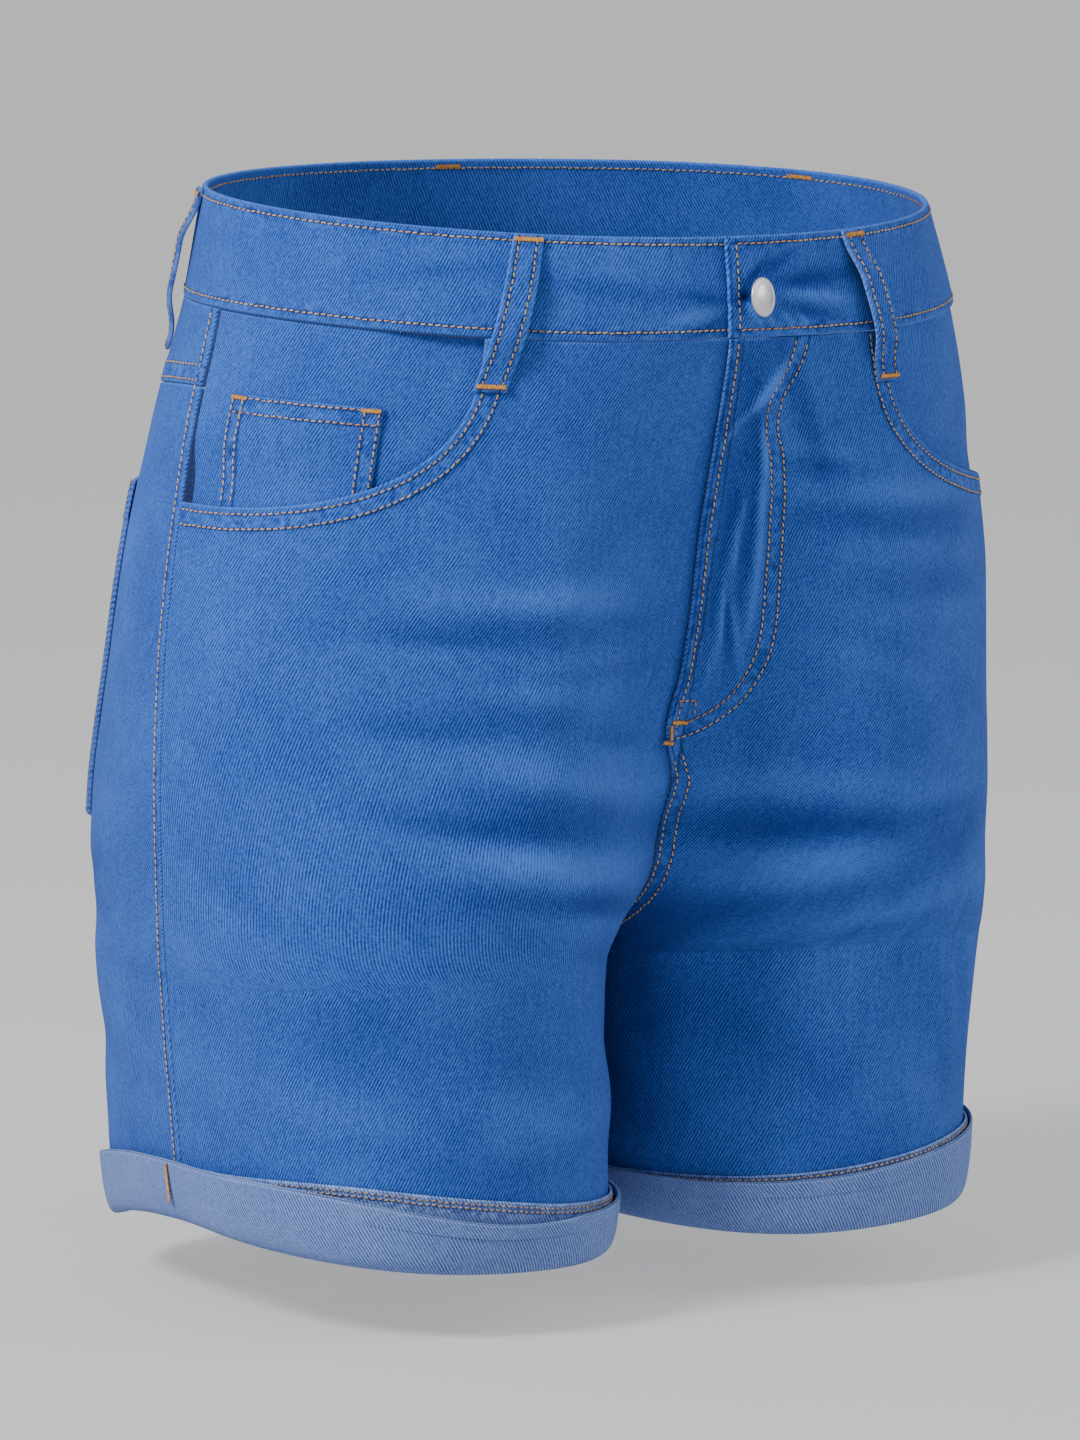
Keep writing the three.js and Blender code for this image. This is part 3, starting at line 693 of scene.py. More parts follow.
def rows_of_lines(n, name, half, shift=0.0):
    """1 on the rows of stitches whose distances an attribute holds, falling to 0 beside them."""
    away = n.vector("ABSOLUTE", n.vector("ADD", n.attribute(name), (-shift,) * 3))
    near = n.vector("MULTIPLY_ADD", away, (-1 / half,) * 3, (1, 1, 1))
    return n.vector("DOT_PRODUCT", n.vector("MAXIMUM", near, (0, 0, 0)), (1, 1, 1))


def stitch_marks(n):
    """1 in the grooves of the rows of stitches, and 1 on the cloth that they pull together."""
    groove = rows_of_lines(n, "doubles", GROOVE_REACH)
    groove = n.math("ADD", groove, rows_of_lines(n, "doubles", GROOVE_REACH, STITCH_PAIR))
    groove = n.math("ADD", groove, rows_of_lines(n, "singles", GROOVE_REACH))
    pulled = rows_of_lines(n, "doubles", 5.0, STITCH_PAIR / 2)
    pulled = n.math("ADD", pulled, rows_of_lines(n, "singles", 3.5))
    return n.math("MINIMUM", groove, 1.0), n.math("MINIMUM", pulled, 1.0)


def twill(n, along, down, slant, contrast):
    """Slanting ribs with uneven lines, in some places stronger than in others."""
    lean = math.radians(slant)
    fuzz = n.noise(n.join(along, n.math("MULTIPLY", down, 0.4), 0.0), 0.8, 2)
    phase = n.math("MULTIPLY", along, 2 * math.pi * math.sin(lean) / TWILL_PITCH)
    phase = n.math("MULTIPLY_ADD", down, 2 * math.pi * math.cos(lean) / TWILL_PITCH, phase)
    ribs = n.math("SINE", n.math("MULTIPLY_ADD", fuzz, 2.6, phase))
    strength = n.range(n.noise(n.join(along, down, 4.0), 0.16, 2), 0.3, 0.7, 0.5, 1.25)
    return n.math("MULTIPLY", ribs, n.math("MULTIPLY", strength, contrast))


def denim(name, dark, light, under=None, slant=62.0, contrast=1.0, grain=1.0, worn_and_painted_light=0.3):
    """Twill cloth. slant is the angle of its diagonals, and under holds its wrong side's colours."""
    n = Nodes(name)
    along, down, inside = n.parts(n.attribute("cloth"))[:3]
    # border holds millimetres to the edge, the buttonhole's painted shade, and the fold tone, part
    # fading and part painted light and shade.
    border, shade, wear_and_painted_light = n.parts(n.attribute("border"))[:3]
    ribs = twill(n, along, down, slant, contrast)
    fleck = n.noise(n.join(along, down, 9.0), 0.95, 3, 0.7)
    drawn = n.join(n.math("MULTIPLY", along, 1.1), n.math("MULTIPLY", down, 0.06), 3.0)
    streak = n.noise(drawn, 1.0, 2)
    patch = n.noise(n.join(along, down, 2.0), 0.022, 3)
    groove, pulled = stitch_marks(n)
    pucker = n.math("SUBTRACT", n.noise(n.join(along, down, 1.0), 0.34, 1), 0.5)
    pucker = n.math("MULTIPLY", pucker, pulled)
    tone = n.math("MULTIPLY_ADD", ribs, 0.36, 0.42)
    for source, share in ((fleck, 1.35), (streak, 0.35), (patch, 0.55)):
        tone = n.math("MULTIPLY_ADD", n.math("SUBTRACT", source, 0.5), share * grain, tone)
    # Paler near every piece's edge, partly rubbed fading and partly painted highlight.
    edge = n.range(border, 0.1, 1.3, 1.0, 0.0)
    # The fold tone; the puckers' tone, which follows their bump, partly seam fading and partly painted
    # light and shade; and painted shade in the stitches' grooves.
    for source, share in ((edge, worn_and_painted_light), (wear_and_painted_light, contrast), (pucker, 1.5), (groove, -0.5)):
        tone = n.math("MULTIPLY_ADD", source, share, tone)
    tone = n.math("MINIMUM", n.math("MAXIMUM", tone, 0.0), 1.0)
    colour = n.mix(tone, dark, light)
    if under:
        colour = n.mix(inside, colour, n.mix(tone, *under))
    # The buttonhole's opening takes painted shade, mixed in by the border attribute's second part.
    n.set(
        Base_Color=n.mix(shade, colour, PAINTED_SHADE_BLUE),
        Roughness=0.92,
        Specular_IOR_Level=0.1,
        Sheen_Weight=0.04,
        Sheen_Roughness=0.5,
    )
    height = n.math("MULTIPLY", ribs, 0.07)
    for source, share in ((fleck, 0.16), (pucker, 1.4), (groove, -0.4)):
        height = n.math("MULTIPLY_ADD", source, share, height)
    n.bump(height, MM)
    return n.material


def metal(name, colour, rough):
    n = Nodes(name)
    mottle = n.noise(n.object_place(), METAL_GRAIN, 3)
    n.set(
        Base_Color=n.mix(mottle, tuple(0.9 * c for c in colour[:3]) + (1,), colour),
        Metallic=0.55,
        Roughness=n.range(mottle, 0.3, 0.7, rough - 0.06, rough + 0.08),
    )
    n.bump(mottle, 0.00003)
    return n.material


def plain_weave(name, dark, light, pitch=0.45):
    n = Nodes(name)
    along, down = n.parts(n.attribute("cloth"))[:2]
    a, b = (n.math("SINE", n.math("MULTIPLY", place, 2 * math.pi / pitch)) for place in (along, down))
    drawn = n.join(n.math("MULTIPLY", along, 0.9), n.math("MULTIPLY", down, 0.08), 0.0)
    tone = n.math("MULTIPLY_ADD", n.math("MULTIPLY", a, b), 0.18, n.noise(drawn, 1.0, 3))
    n.set(Base_Color=n.mix(tone, dark, light), Roughness=0.9, Specular_IOR_Level=0.2)
    n.bump(n.math("MULTIPLY", tone, 0.08), MM)
    return n.material


PALE = (linear(58, 84, 150), linear(134, 157, 210))
FACE = denim("denim_face", linear(15, 50, 128), linear(68, 116, 203), PALE)
REVERSE = denim("denim_reverse", *PALE, slant=118, contrast=1.3, grain=0.7, worn_and_painted_light=0.2)
POCKETING = plain_weave("pocketing", linear(206, 208, 204), linear(232, 233, 229))
TAPE = plain_weave("zip_tape_weave", linear(40, 54, 80), linear(70, 88, 120), 0.6)
SILVER = metal("button_metal", linear(214, 212, 216), 0.36)
ZIP_METAL = metal("zip_metal", linear(205, 206, 208), 0.3)


def dress(piece, material, slot, *nodes):
    piece.data.materials.append(material)
    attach(piece, "root")
    if nodes:
        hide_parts(*nodes)
    return piece


# Fronts

FRONT_COLUMNS = 15
INNER_COLUMNS = {"right": 6, "left": 4}
RISE_POWER = 1.3
PANEL_STEP = 2.1
FOLDED_EDGE = 9.2
FOLDED_RIDGE = 0.5
ROW_INSET = 2.6
# The fly's pleats and the band's creases pale on their ridges by fading, and their troughs darken as
# painted shade, down to a limit.
PLEAT_FADING_AND_SHADE = 0.5
TROUGH_SHADE_LIMIT = -0.5
PLEATS_FADE = (195, 215)
# How much darker the fly is made inside its row of stitches, over what width that sets in, and where it
# fades out.
FLY_DARKER = 0.08
FLY_DARKER_EDGE = 0.006
FLY_DARKER_FADE = (185, 205)
FRONT_SCALE = 560.0
FLY_EDGE_ROW = 4.3
FLY_EDGE_CREASE = 1.3
FLY_ROW_END = 199.5
RISE_ROW = 1.6

# The line of the fly's inner row of stitches, from the waistband to the end of the fly.
FLY_ROW = {
    "drop": [40, 54, 64, 79, 92, 117, 142, 167, 180, 189, 194.5, 198, FLY_ROW_END],
    "across": [
        0.0535, 0.043, 0.032, 0.0295, 0.037, 0.042, 0.044, 0.045, 0.040, 0.031, 0.018, 0.004, -0.010
    ],
}

# The left front's edge passes over the centre, most of all just above the end of the fly.
FLY_EDGE = {
    "drop": [40, 80, 115, 150, 180, 192, 203, 212, 222],
    "across": [-0.011, -0.0135, -0.0145, -0.0118, -0.0115, -0.0155, -0.0165, -0.009, 0],
}


def fly_lap(drop):
    return np.where(drop < FLY_END, read(FLY_EDGE, np.minimum(drop, FLY_END), "across"), 0)


def fly_rise(across, drop):
    down = 1 - smooth(drop, FLY_END, FLY_FLAT)
    return FLY_RISE * down * (1 - smooth(across, 0.012, FLY_WIDTH))


def fly_pleats(across, drop):
    return fold_height(across, drop, FLY_CREASES) * (1 - smooth(drop, *PLEATS_FADE))


def fly_lift(across, drop):
    """How far the left front stands off over the fly, its pleats included."""
    return fly_rise(np.maximum(across, 0), drop) + fly_pleats(across, drop)


def fly_row_across(drop):
    return read(FLY_ROW, np.minimum(drop, FLY_ROW_END), "across")


def panel_drops(top, bottom):
    """Drops down a leg panel, a column for each top and bottom, closer towards the crotch."""
    tall = CROTCH_DROP - BAND_HEIGHT
    count = int(tall * RISE_POWER / PANEL_STEP)
    share = (np.arange(count, -1, -1) / count) ** RISE_POWER
    share = np.unique(np.concatenate([share, 1 - EDGE_LINES[1:] / tall]))[::-1]
    rise = CROTCH_DROP - (CROTCH_DROP - top[None, :]) * share[:, None]
    fall = lines(OUTSEAM - CROTCH_DROP, PANEL_STEP)
    leg = lerp(CROTCH_DROP, bottom[None, :], fall[fall > 0.01][:, None])
    return np.concatenate([rise, leg])


def front_places(side):
    sign, near, inner = SIDES[side], POCKET_NEAR[side], INNER_COLUMNS[side]
    p = lines(0.5 * HALF_GIRTH)
    if side == "left":
        p = denser(p, np.arange(1.5, 40, 0.9) / (0.5 * HALF_GIRTH), 0.003)
    k = p * FRONT_COLUMNS
    straight = lerp(SEAM, near, np.clip(k / inner, 0, 1) ** 1.5)
    angle = np.pi / 2 * np.clip((k - inner) / (FRONT_COLUMNS - inner), 0, 1)
    edge_u, edge_drop = pocket_edge(side, angle)
    top_u = np.where(k <= inner, straight, edge_u)
    top = np.where(k <= inner, BAND_HEIGHT + SEAM_GAP, edge_drop)
    hem = np.clip(0.5 * p, SEAM, 0.5 - SEAM)
    bottom = leg_end(sign * hem) - 1
    drop = panel_drops(top, bottom)
    u = lerp(top_u, hem, (drop - top) / (bottom - top))
    if side == "left":
        u = u + fly_lap(drop) * (1 - np.clip(k / 2, 0, 1))
    return sign * u, drop


def mouth_line(side, count=120):
    u, drop = pocket_edge(side, np.linspace(0, np.pi / 2, count))
    return SIDES[side] * u, drop


def fly_marks(across, drop, points):
    """Grids of millimetres to the double rows and to the single rows at the fly."""
    inset = (across - fly_lap(drop)) * FRONT_SCALE
    row_drop = np.linspace(BAND_HEIGHT, FLY_ROW_END, 140)
    away = line_distance(points, on_cloth(fly_row_across(row_drop), row_drop, np.zeros(140)))
    within = (across < fly_row_across(drop)) & (drop < FLY_ROW_END)
    curve = np.where(drop < FLY_ROW_END + 12, np.where(within, -away, away), FAR)
    rise = np.where(drop > FLY_ROW_END + 5, inset - RISE_ROW, FAR)
    along_edge = (FLY_EDGE_ROW, FLY_EDGE_CREASE)
    return [curve, rise], [np.where(drop < FLY_ROW_END + 5, inset - row, FAR) for row in along_edge]


def front(side):
    across, drop = front_places(side)
    points = on_cloth(across, drop, np.zeros_like(across))
    line_across, line_drop = mouth_line(side)
    mouth = line_distance(points, on_cloth(line_across, line_drop, np.zeros_like(line_drop)))
    lift = FOLDED_RIDGE * (1 - smooth(mouth, FOLDED_EDGE - 0.8, FOLDED_EDGE))
    wear_and_painted_light = fold_wear_and_painted_light(across, drop)
    doubles, singles = [mouth - ROW_INSET], []
    if side == "left":
        lift = lift + fly_lift(across, drop)
        beyond = fly_row_across(drop)
        # The fly is made a little darker inside its row of stitches.
        in_fly = 1 - smooth(across, beyond - FLY_DARKER_EDGE, beyond)
        in_fly = in_fly * (1 - smooth(drop, *FLY_DARKER_FADE))
        # The pleats' ridges pale by fading and their troughs darken as painted shade.
        pleats = np.maximum(fly_pleats(across, drop), TROUGH_SHADE_LIMIT)
        wear_and_painted_light = wear_and_painted_light + PLEAT_FADING_AND_SHADE * pleats - FLY_DARKER * in_fly
        more, singles = fly_marks(across, drop, points)
        doubles = doubles + more
    name = f"cloth_front_{side}"
    return shell(name, across, drop, lift, CLOTH, 0.25, mouth, doubles, singles, wear_and_painted_light=wear_and_painted_light)


def facing(side):
    t, s = lines(130), lines(75)
    start = pocket_edge(side, 0.0, POCKET_TUCK)[0]
    edge_u, edge_drop = pocket_edge(side, lerp(0.2, np.pi / 2, t), POCKET_TUCK)
    u = lerp(lerp(start, 0.5 - SEAM, t), edge_u, s[:, None])
    drop = lerp(BAND_HEIGHT + SEAM_GAP, edge_drop, s[:, None])
    lift = facing_lift(side, u, drop)
    return shell(f"cloth_hip_facing_{side}", SIDES[side] * u, drop, lift, FACING_CLOTH, 0.25)


def pocket_bag(side):
    t, s = lines(110, 4.0), lines(105, 4.0)
    top_u, top_drop = pocket_edge(side, lerp(0.5, 1.35, t), POCKET_TUCK + 0.01)
    bottom = BAG_DROP - 28 * np.abs(2 * t - 1) ** 2.5
    u = lerp(top_u, lerp(POCKET_NEAR[side], 0.44, t), s[:, None])
    drop = lerp(top_drop, bottom, s[:, None])
    lift = np.full_like(u, -CLOTH - TUCK_GAP)
    return shell(f"cloth_pocket_bag_{side}", SIDES[side] * u, drop, lift, 1.0, 0.25)


def coin_pocket():
    t, s = lines(74, 1.5), lines(40, 1.5)
    u = lerp(COIN["near"], COIN["far"], t)
    a = (0.5 - u) / (0.5 - POCKET_NEAR["right"])
    b = (COIN["tuck"] ** POCKET_ROUND - a**POCKET_ROUND) ** (1 / POCKET_ROUND)
    bottom = BAND_HEIGHT + (POCKET_DROP - BAND_HEIGHT) * b
    u, drop = grids(u, lerp(COIN["top"], bottom, s[:, None]))
    lift = facing_lift("right", u, drop) + FACING_CLOTH + LAYER_GAP
    first, last, top, _ = edge_distance(on_cloth(-u, drop, lift))
    doubles = [first - COIN_ROW, last - COIN_ROW, top - COIN_ROW]
    return shell("cloth_coin_pocket", -u, drop, lift, FACING_CLOTH, 0.25, None, doubles, seat=-0.3)


# Yokes, backs and back pockets

YOKE_SIDE = 69.0
YOKE_CENTRE = 94.0
YOKE_RIDGE = 0.35
YOKE_RIDGE_EDGE = (8.2, 9.0)
BACK_RIDGE = 0.4
SIDE_RIDGE_EDGE = (4.6, 5.4)
SIDE_RIDGE_END = (368, 372)
SIDE_ROW = 3.5
SEAM_ROW = 1.8
PATCH_LIFT = CLOTH + 0.4
PATCH_HEM = 0.4
PATCH_HEM_DROP = 14
PATCH_ROW = 1.6
PATCH_TOP_ROW = 2.4
BACK_POCKET = {"near": 0.645, "far": 0.905, "top": 111.0, "corner": 240.0, "point": 256.0}


def yoke_seam(u):
    return lerp(YOKE_SIDE, YOKE_CENTRE, np.clip(2 * u - 1, 0, 1) ** 1.5)


def yoke(side):
    u = lerp(0.5 + SEAM, 1 - SEAM, lines(0.5 * HALF_GIRTH))
    drop = lerp(BAND_HEIGHT + SEAM_GAP, yoke_seam(u) - SEAM_GAP / 2, lines(40)[:, None])
    u, drop = grids(u, drop)
    behind, below = along_from(0.5, u, drop), yoke_seam(u) - drop
    lift = YOKE_RIDGE * (2 - smooth(behind, *SIDE_RIDGE_EDGE) - smooth(below, *YOKE_RIDGE_EDGE))
    doubles = [below - SEAM_ROW]
    if side == "left":
        doubles.append(-along_from(1.0, u, drop) - SEAM_ROW)
    singles = [behind - SIDE_ROW]
    return shell(f"cloth_yoke_{side}", SIDES[side] * u, drop, lift, CLOTH, 0.75, None, doubles, singles)


def back(side):
    u = lerp(0.5 + SEAM, 1 - SEAM, lines(0.5 * HALF_GIRTH))
    drop = panel_drops(yoke_seam(u) + SEAM_GAP / 2, leg_end(SIDES[side] * u) - 1)
    u, drop = grids(u, drop)
    behind = along_from(0.5, u, drop)
    lift = BACK_RIDGE * (1 - smooth(behind, *SIDE_RIDGE_EDGE)) * (1 - smooth(drop, *SIDE_RIDGE_END))
    doubles, singles = [], [behind - SIDE_ROW]
    if side == "left":
        doubles = [np.where(drop < CROTCH_DROP, -along_from(1.0, u, drop) - SEAM_ROW, FAR)]
    return shell(f"cloth_back_{side}", SIDES[side] * u, drop, lift, CLOTH, 0.75, None, doubles, singles)


def back_pocket_places(t, s):
    inset = 0.012 * s
    u = lerp(BACK_POCKET["near"] + inset, BACK_POCKET["far"] - inset, t)
    bottom = lerp(BACK_POCKET["point"], BACK_POCKET["corner"], np.abs(2 * t - 1))
    return u, lerp(BACK_POCKET["top"], bottom, s)


def back_pocket(side):
    t = np.unique(np.concatenate([lines(126), [0.5]]))
    u, drop = back_pocket_places(t, lines(138)[:, None])
    across, lift = SIDES[side] * u, np.full_like(u, PATCH_LIFT)
    first, last, top, bottom = edge_distance(on_cloth(across, drop, lift))
    lift = lift + PATCH_HEM * (1 - smooth(top, PATCH_HEM_DROP, PATCH_HEM_DROP + 1))
    sides = np.minimum(np.minimum(first, last), bottom)
    doubles = [sides - PATCH_ROW, top - PATCH_TOP_ROW]
    name = f"cloth_back_pocket_{side}"
    return shell(name, across, drop, lift, CLOTH, 0.75, None, doubles, seat=-0.3)


# Waistband

BAND_FACE = 0.6
BAND_LIFT = 1.4
BAND_OVER_END = -0.011
BAND_UNDER_END = 0.062
BAND_LENGTH = 2 + BAND_UNDER_END - BAND_OVER_END
BAND_ROW = 3.1
BAND_END_ROW = 4.8
BAND_END_FOLD = 3.0
BAND_SCALE = 440.0
BAND_REACH = BAND_LENGTH * 450


def band_lift(along):
    over = 1 - smooth(along, 0.075, 0.125)
    under = smooth(along, BAND_LENGTH - 0.115, BAND_LENGTH - 0.07)
    return BAND_FACE + BAND_LIFT * (over - under)


def band_surface(along, drop):
    """Across and lift of the waistband's outer face, so far along from its over end."""
    across = BAND_OVER_END + along
    wobble = 0.25 * np.sin(along * 61) * np.sin(along * 23 + 1) * np.sin(np.pi * drop / BAND_HEIGHT)
    dents = fold_height(across, drop, BAND_CREASES)
    return wrap(across), band_lift(along) + wobble + dents


def waistband():
    along = denser(lines(BAND_REACH, 2.4), np.arange(1.5, 45, 1.1) / BAND_REACH, 0.001)
    along, drop = grids(BAND_LENGTH * along, BAND_HEIGHT * lines(BAND_HEIGHT, 1.3)[:, None])
    across, lift = band_surface(along, drop)
    end = np.abs(along * FRONT_SCALE - BAND_END_FOLD)
    singles = [drop - BAND_ROW, BAND_HEIGHT - drop - BAND_ROW, end - (BAND_END_ROW - BAND_END_FOLD)]
    # The band's creases pale on their ridges by fading and darken in their dents as painted shade.
    wear_and_painted_light = PLEAT_FADING_AND_SHADE * fold_height(across, drop, BAND_CREASES)
    made = shell("cloth_waistband", across, drop, lift, BAND_CLOTH, 0.0, None, (), singles, wear_and_painted_light=wear_and_painted_light)
    # The buttonhole's opening is not cut; it is painted dark as shade.
    sideways = (across - BUTTONHOLE["across"]) * FRONT_SCALE
    hole = np.hypot(sideways, drop - BUTTONHOLE["drop"]) / BUTTONHOLE["size"]
    shade = (1 - smooth(hole, 0.4, 1.1)) * (along < 1)
    return set_shade(set_weave(made, along * BAND_SCALE, drop), shade)


# Cuffs

CUFF_HUG = {"right": (0.62, 0.3), "left": (0.36, 0.42)}
CUFF_COLUMNS = 240
CUFF_HEM_ROW = 20
CUFF_LEVEL = 360.0
HEM_ROOM = 0.5
LOW_FOLD = 15

# The cuff's cut, as lift and rise: its outer face down and under, an end, its inner face, an end.
CUFF_OUTER = np.array(
    [(5.8, 22.5), (5.3, 14), (4.3, 6.5), (2.7, 1.2), (0, -1.6), (-2.8, -0.6), (-4.5, 3), (-4.5, 15)]
)
CUFF_LOW_END = [(-4.2, 15.5), (-3.6, 15.7), (-3.0, 15.5)]
CUFF_INNER = np.array(
    [(-2.7, 15), (-2.7, 3.2), (-1.6, 0.9), (0.7, 0.7), (2.5, 6.5), (3.5, 14), (4.0, 22.5)]
)
CUFF_TOP_END = [(4.35, 22.95), (4.9, 23.1), (5.45, 22.95)]


def through(points, count):
    """A smooth curve through points, evenly spaced."""
    padded = np.concatenate([2 * points[:1] - points[1:2], points, 2 * points[-1:] - points[-2:-1]])
    t = np.linspace(0, 1, 12, endpoint=False)[:, None]
    pieces = []
    for k in range(len(points) - 1):
        a, b, c, d = padded[k : k + 4]
        m, q = (c - a) / 2, (d - b) / 2
        h = t * t * (3 - 2 * t)
        pieces.append(lerp(b, c, h) + m * t * (1 - t) ** 2 - q * t * t * (1 - t))
    dense = np.concatenate([*pieces, points[-1:]])
    length = run(dense)
    at = np.linspace(0, length[-1], count)
    return np.stack([np.interp(at, length, dense[:, k]) for k in range(2)], axis=-1)


def cuff_form(side, t, profile):
    """How far the cuff stands off the leg and how high it is, for its cut at each place round it."""
    lift, rise = profile[:, :1], profile[:, 1:]
    height = 1 - 0.28 * np.cos(2 * np.pi * (t - 0.1)) * (1 - smooth(t, 0.35, 0.5))
    if side == "right":
        height = height - 0.2 * np.exp(-(((t - 0.27) / 0.09) ** 2))
    thigh = ((1 + np.cos(2 * np.pi * t)) / 2) ** 3
    at, by = CUFF_HUG[side]
    hug = by * np.exp(-(((t - at) / 0.13) ** 2))
    wave = np.sin(2 * np.pi * (3 * t + 0.2)) * 0.5 + np.sin(2 * np.pi * (7 * t + 0.6)) * 0.3
    stand = np.where(lift > 0, lift * (1 - 0.28 * thigh - hug), lift)
    stand = stand + 0.45 * wave * smooth(rise, 2, 18) * (lift > 0) * (1 - thigh)
    return stand, np.where(rise > LOW_FOLD, rise * height, rise)


def cuff(side):
    sign = SIDES[side]
    t = np.arange(CUFF_COLUMNS) / CUFF_COLUMNS
    outer, inner = through(CUFF_OUTER, 34), through(CUFF_INNER, 30)
    profile = np.concatenate([outer, CUFF_LOW_END, inner, CUFF_TOP_END])
    stand, tall = cuff_form(side, t, profile)
    u = np.broadcast_to(np.clip(t, SEAM, 1 - SEAM), tall.shape)
    points = on_cloth(sign * u, leg_end(sign * u) + HEM_ROOM - tall, stand)
    ring = np.arange(tall.size).reshape(tall.shape)
    down, right = np.roll(ring, -1, axis=0), np.roll(ring, -1, axis=1)
    faces = np.stack([ring, down, np.roll(down, -1, axis=1), right], axis=-1).reshape(-1, 4)
    length = run(profile)
    around = np.broadcast_to(length[:, None], tall.shape)
    along = sign * look_up(ALONG, u, np.full(tall.shape, CUFF_LEVEL))
    none, far = np.zeros(tall.shape), np.full(tall.shape, FAR)
    vectors = {
        "cloth": [along, around, none + 1],
        "border": [np.minimum(around, length[-1] - around), none, none],
        "doubles": [far, far, far],
        "singles": [far, far, far],
    }
    attributes = {key: np.stack(parts, axis=-1).reshape(-1, 3) for key, parts in vectors.items()}
    faces = faces[:, ::sign].tolist()
    made = to_object(f"cloth_cuff_{side}", points.reshape(-1, 3), faces, attributes)
    fix_outward(made)
    hem = np.linalg.norm(np.diff(points[CUFF_HEM_ROW], axis=0), axis=-1).sum() * MM
    fold = length[len(outer) - 1] * MM
    made["wide_m"], made["long_m"], made["area_m2"] = hem, fold, hem * fold
    return made


# The turned-up hem's own edge, which shows between the leg and the cuff's rim.
HEM_RISE = {
    "right": {"drop": [0, 0.2, 0.28, 0.38, 0.5, 0.62, 1], "rise": [15, 19.5, 23, 26, 21, 18, 15]},
    "left": {"drop": [0, 0.14, 0.26, 0.36, 0.5, 0.62, 1], "rise": [15, 18.5, 21.5, 24.5, 21, 18, 15]},
}
HEM_LIFT = 1.55
HEM_CLOTH = 1.1
HEM_ROWS = (1.5, 2.9)


def hem_top(side, t):
    return leg_end(SIDES[side] * t) + HEM_ROOM - read(HEM_RISE[side], t, "rise")


def hem_strip(side):
    t = lerp(SEAM, 1 - SEAM, lines(HALF_GIRTH))
    top = hem_top(side, t)
    t, drop = grids(t, lerp(top, leg_end(SIDES[side] * t) - 5, lines(14, 1.5)[:, None]))
    depth = drop - top
    lift = HEM_LIFT - 0.5 * smooth(depth, 2, 12)
    singles = [depth - row for row in HEM_ROWS]
    return shell(f"hem_{side}", SIDES[side] * t, drop, lift, HEM_CLOTH, 0.25, None, (), singles)


def fix_outward(made):
    """Turns a closed mesh's faces so that they look outwards."""
    mesh = made.data
    mesh.calc_loop_triangles()
    co = np.zeros(len(mesh.vertices) * 3)
    mesh.vertices.foreach_get("co", co)
    co = co.reshape(-1, 3)
    tri = np.zeros(len(mesh.loop_triangles) * 3, int)
    mesh.loop_triangles.foreach_get("vertices", tri)
    a, b, c = (co[tri.reshape(-1, 3)[:, k]] for k in range(3))
    if (a * np.cross(b, c)).sum() < 0:
        mesh.flip_normals()


# Belt loops

LOOP_WIDTH = 12.5
LOOP_CLOTH = 1.8
LOOP_TOP = 0.8
LOOP_BOTTOM = 61.0
LOOP_ROW = 3.6
# Across at the top and at the bottom, and how far the loop stands off.
LOOPS = {
    "front_right": (-0.180, -0.209, 3.6),
    "front_left": (0.126, 0.143, 3.4),
    "back_right": (-0.605, -0.645, 4.0),
    "back_left": (0.625, 0.648, 4.2),
    "centre_back": (0.975, 0.978, 6.7),
}


def loop_place(name, s, offset):
    """Across, drop and lift on a belt loop, offset millimetres beside its middle."""
    top, bottom, stand = LOOPS[name]
    drop = lerp(LOOP_TOP, LOOP_BOTTOM, s)
    across = lerp(top, bottom, s) + offset / HALF_GIRTH
    seat = lerp(BAND_FACE, 0, smooth(drop, BAND_HEIGHT + 4, BAND_HEIGHT + 12))
    bulge = stand * smooth(s, 0.06, 0.34) * (1 - smooth(s, 0.62, 0.93))
    return across, drop, LOOP_CLOTH + 0.2 + seat + bulge


def belt_loop(name):
    s, t = lines(62, 1.6), lines(LOOP_WIDTH, 1.0)
    offset = np.broadcast_to(lerp(-LOOP_WIDTH / 2, LOOP_WIDTH / 2, t), (len(s), len(t)))
    across, drop, lift = grids(*loop_place(name, s[:, None], offset))
    singles = [offset + LOOP_ROW, offset - LOOP_ROW]
    edge = LOOP_WIDTH / 2 - np.abs(offset)
    name = f"cloth_belt_loop_{name}"
    return shell(name, across, drop, lift, LOOP_CLOTH, 0.25, edge, (), singles)


# Zip tape, behind the right front's edge

ZIP_ACROSS = (-0.02, 0.036)
ZIP_DROPS = (44.0, 200.0)
ZIP_LIFT = -CLOTH - 0.8


def zip_tape():
    across = lerp(*ZIP_ACROSS, lines(28, 3.0))
    across, drop = grids(across, lerp(*ZIP_DROPS, lines(156, 4.0))[:, None])
    return shell("cloth_zip_tape", across, drop, np.full(across.shape, ZIP_LIFT), 1.0, 0.0)


for side in SIDES:
    hem = dress(hem_strip(side), REVERSE, "denim_reverse")
    dress(front(side), FACE, "denim", f"front_{side}")
    dress(facing(side), FACE, "denim", f"hip_facing_{side}")
    dress(pocket_bag(side), POCKETING, "pocketing", f"pocket_bag_{side}")
    dress(yoke(side), FACE, "denim", f"yoke_{side}")
    dress(back(side), FACE, "denim", f"back_{side}")
    dress(back_pocket(side), FACE, "denim", f"back_pocket_{side}")
    turned = dress(cuff(side), REVERSE, "denim_reverse", f"cuff_{side}")
dress(coin_pocket(), FACE, "denim", "coin_pocket")
band = dress(waistband(), FACE, "denim", "waistband")
dress(zip_tape(), TAPE, "zip_tape", "zip_tape")
for name in LOOPS:
    dress(belt_loop(name), FACE, "denim", f"belt_loop_{name}")


# Threads

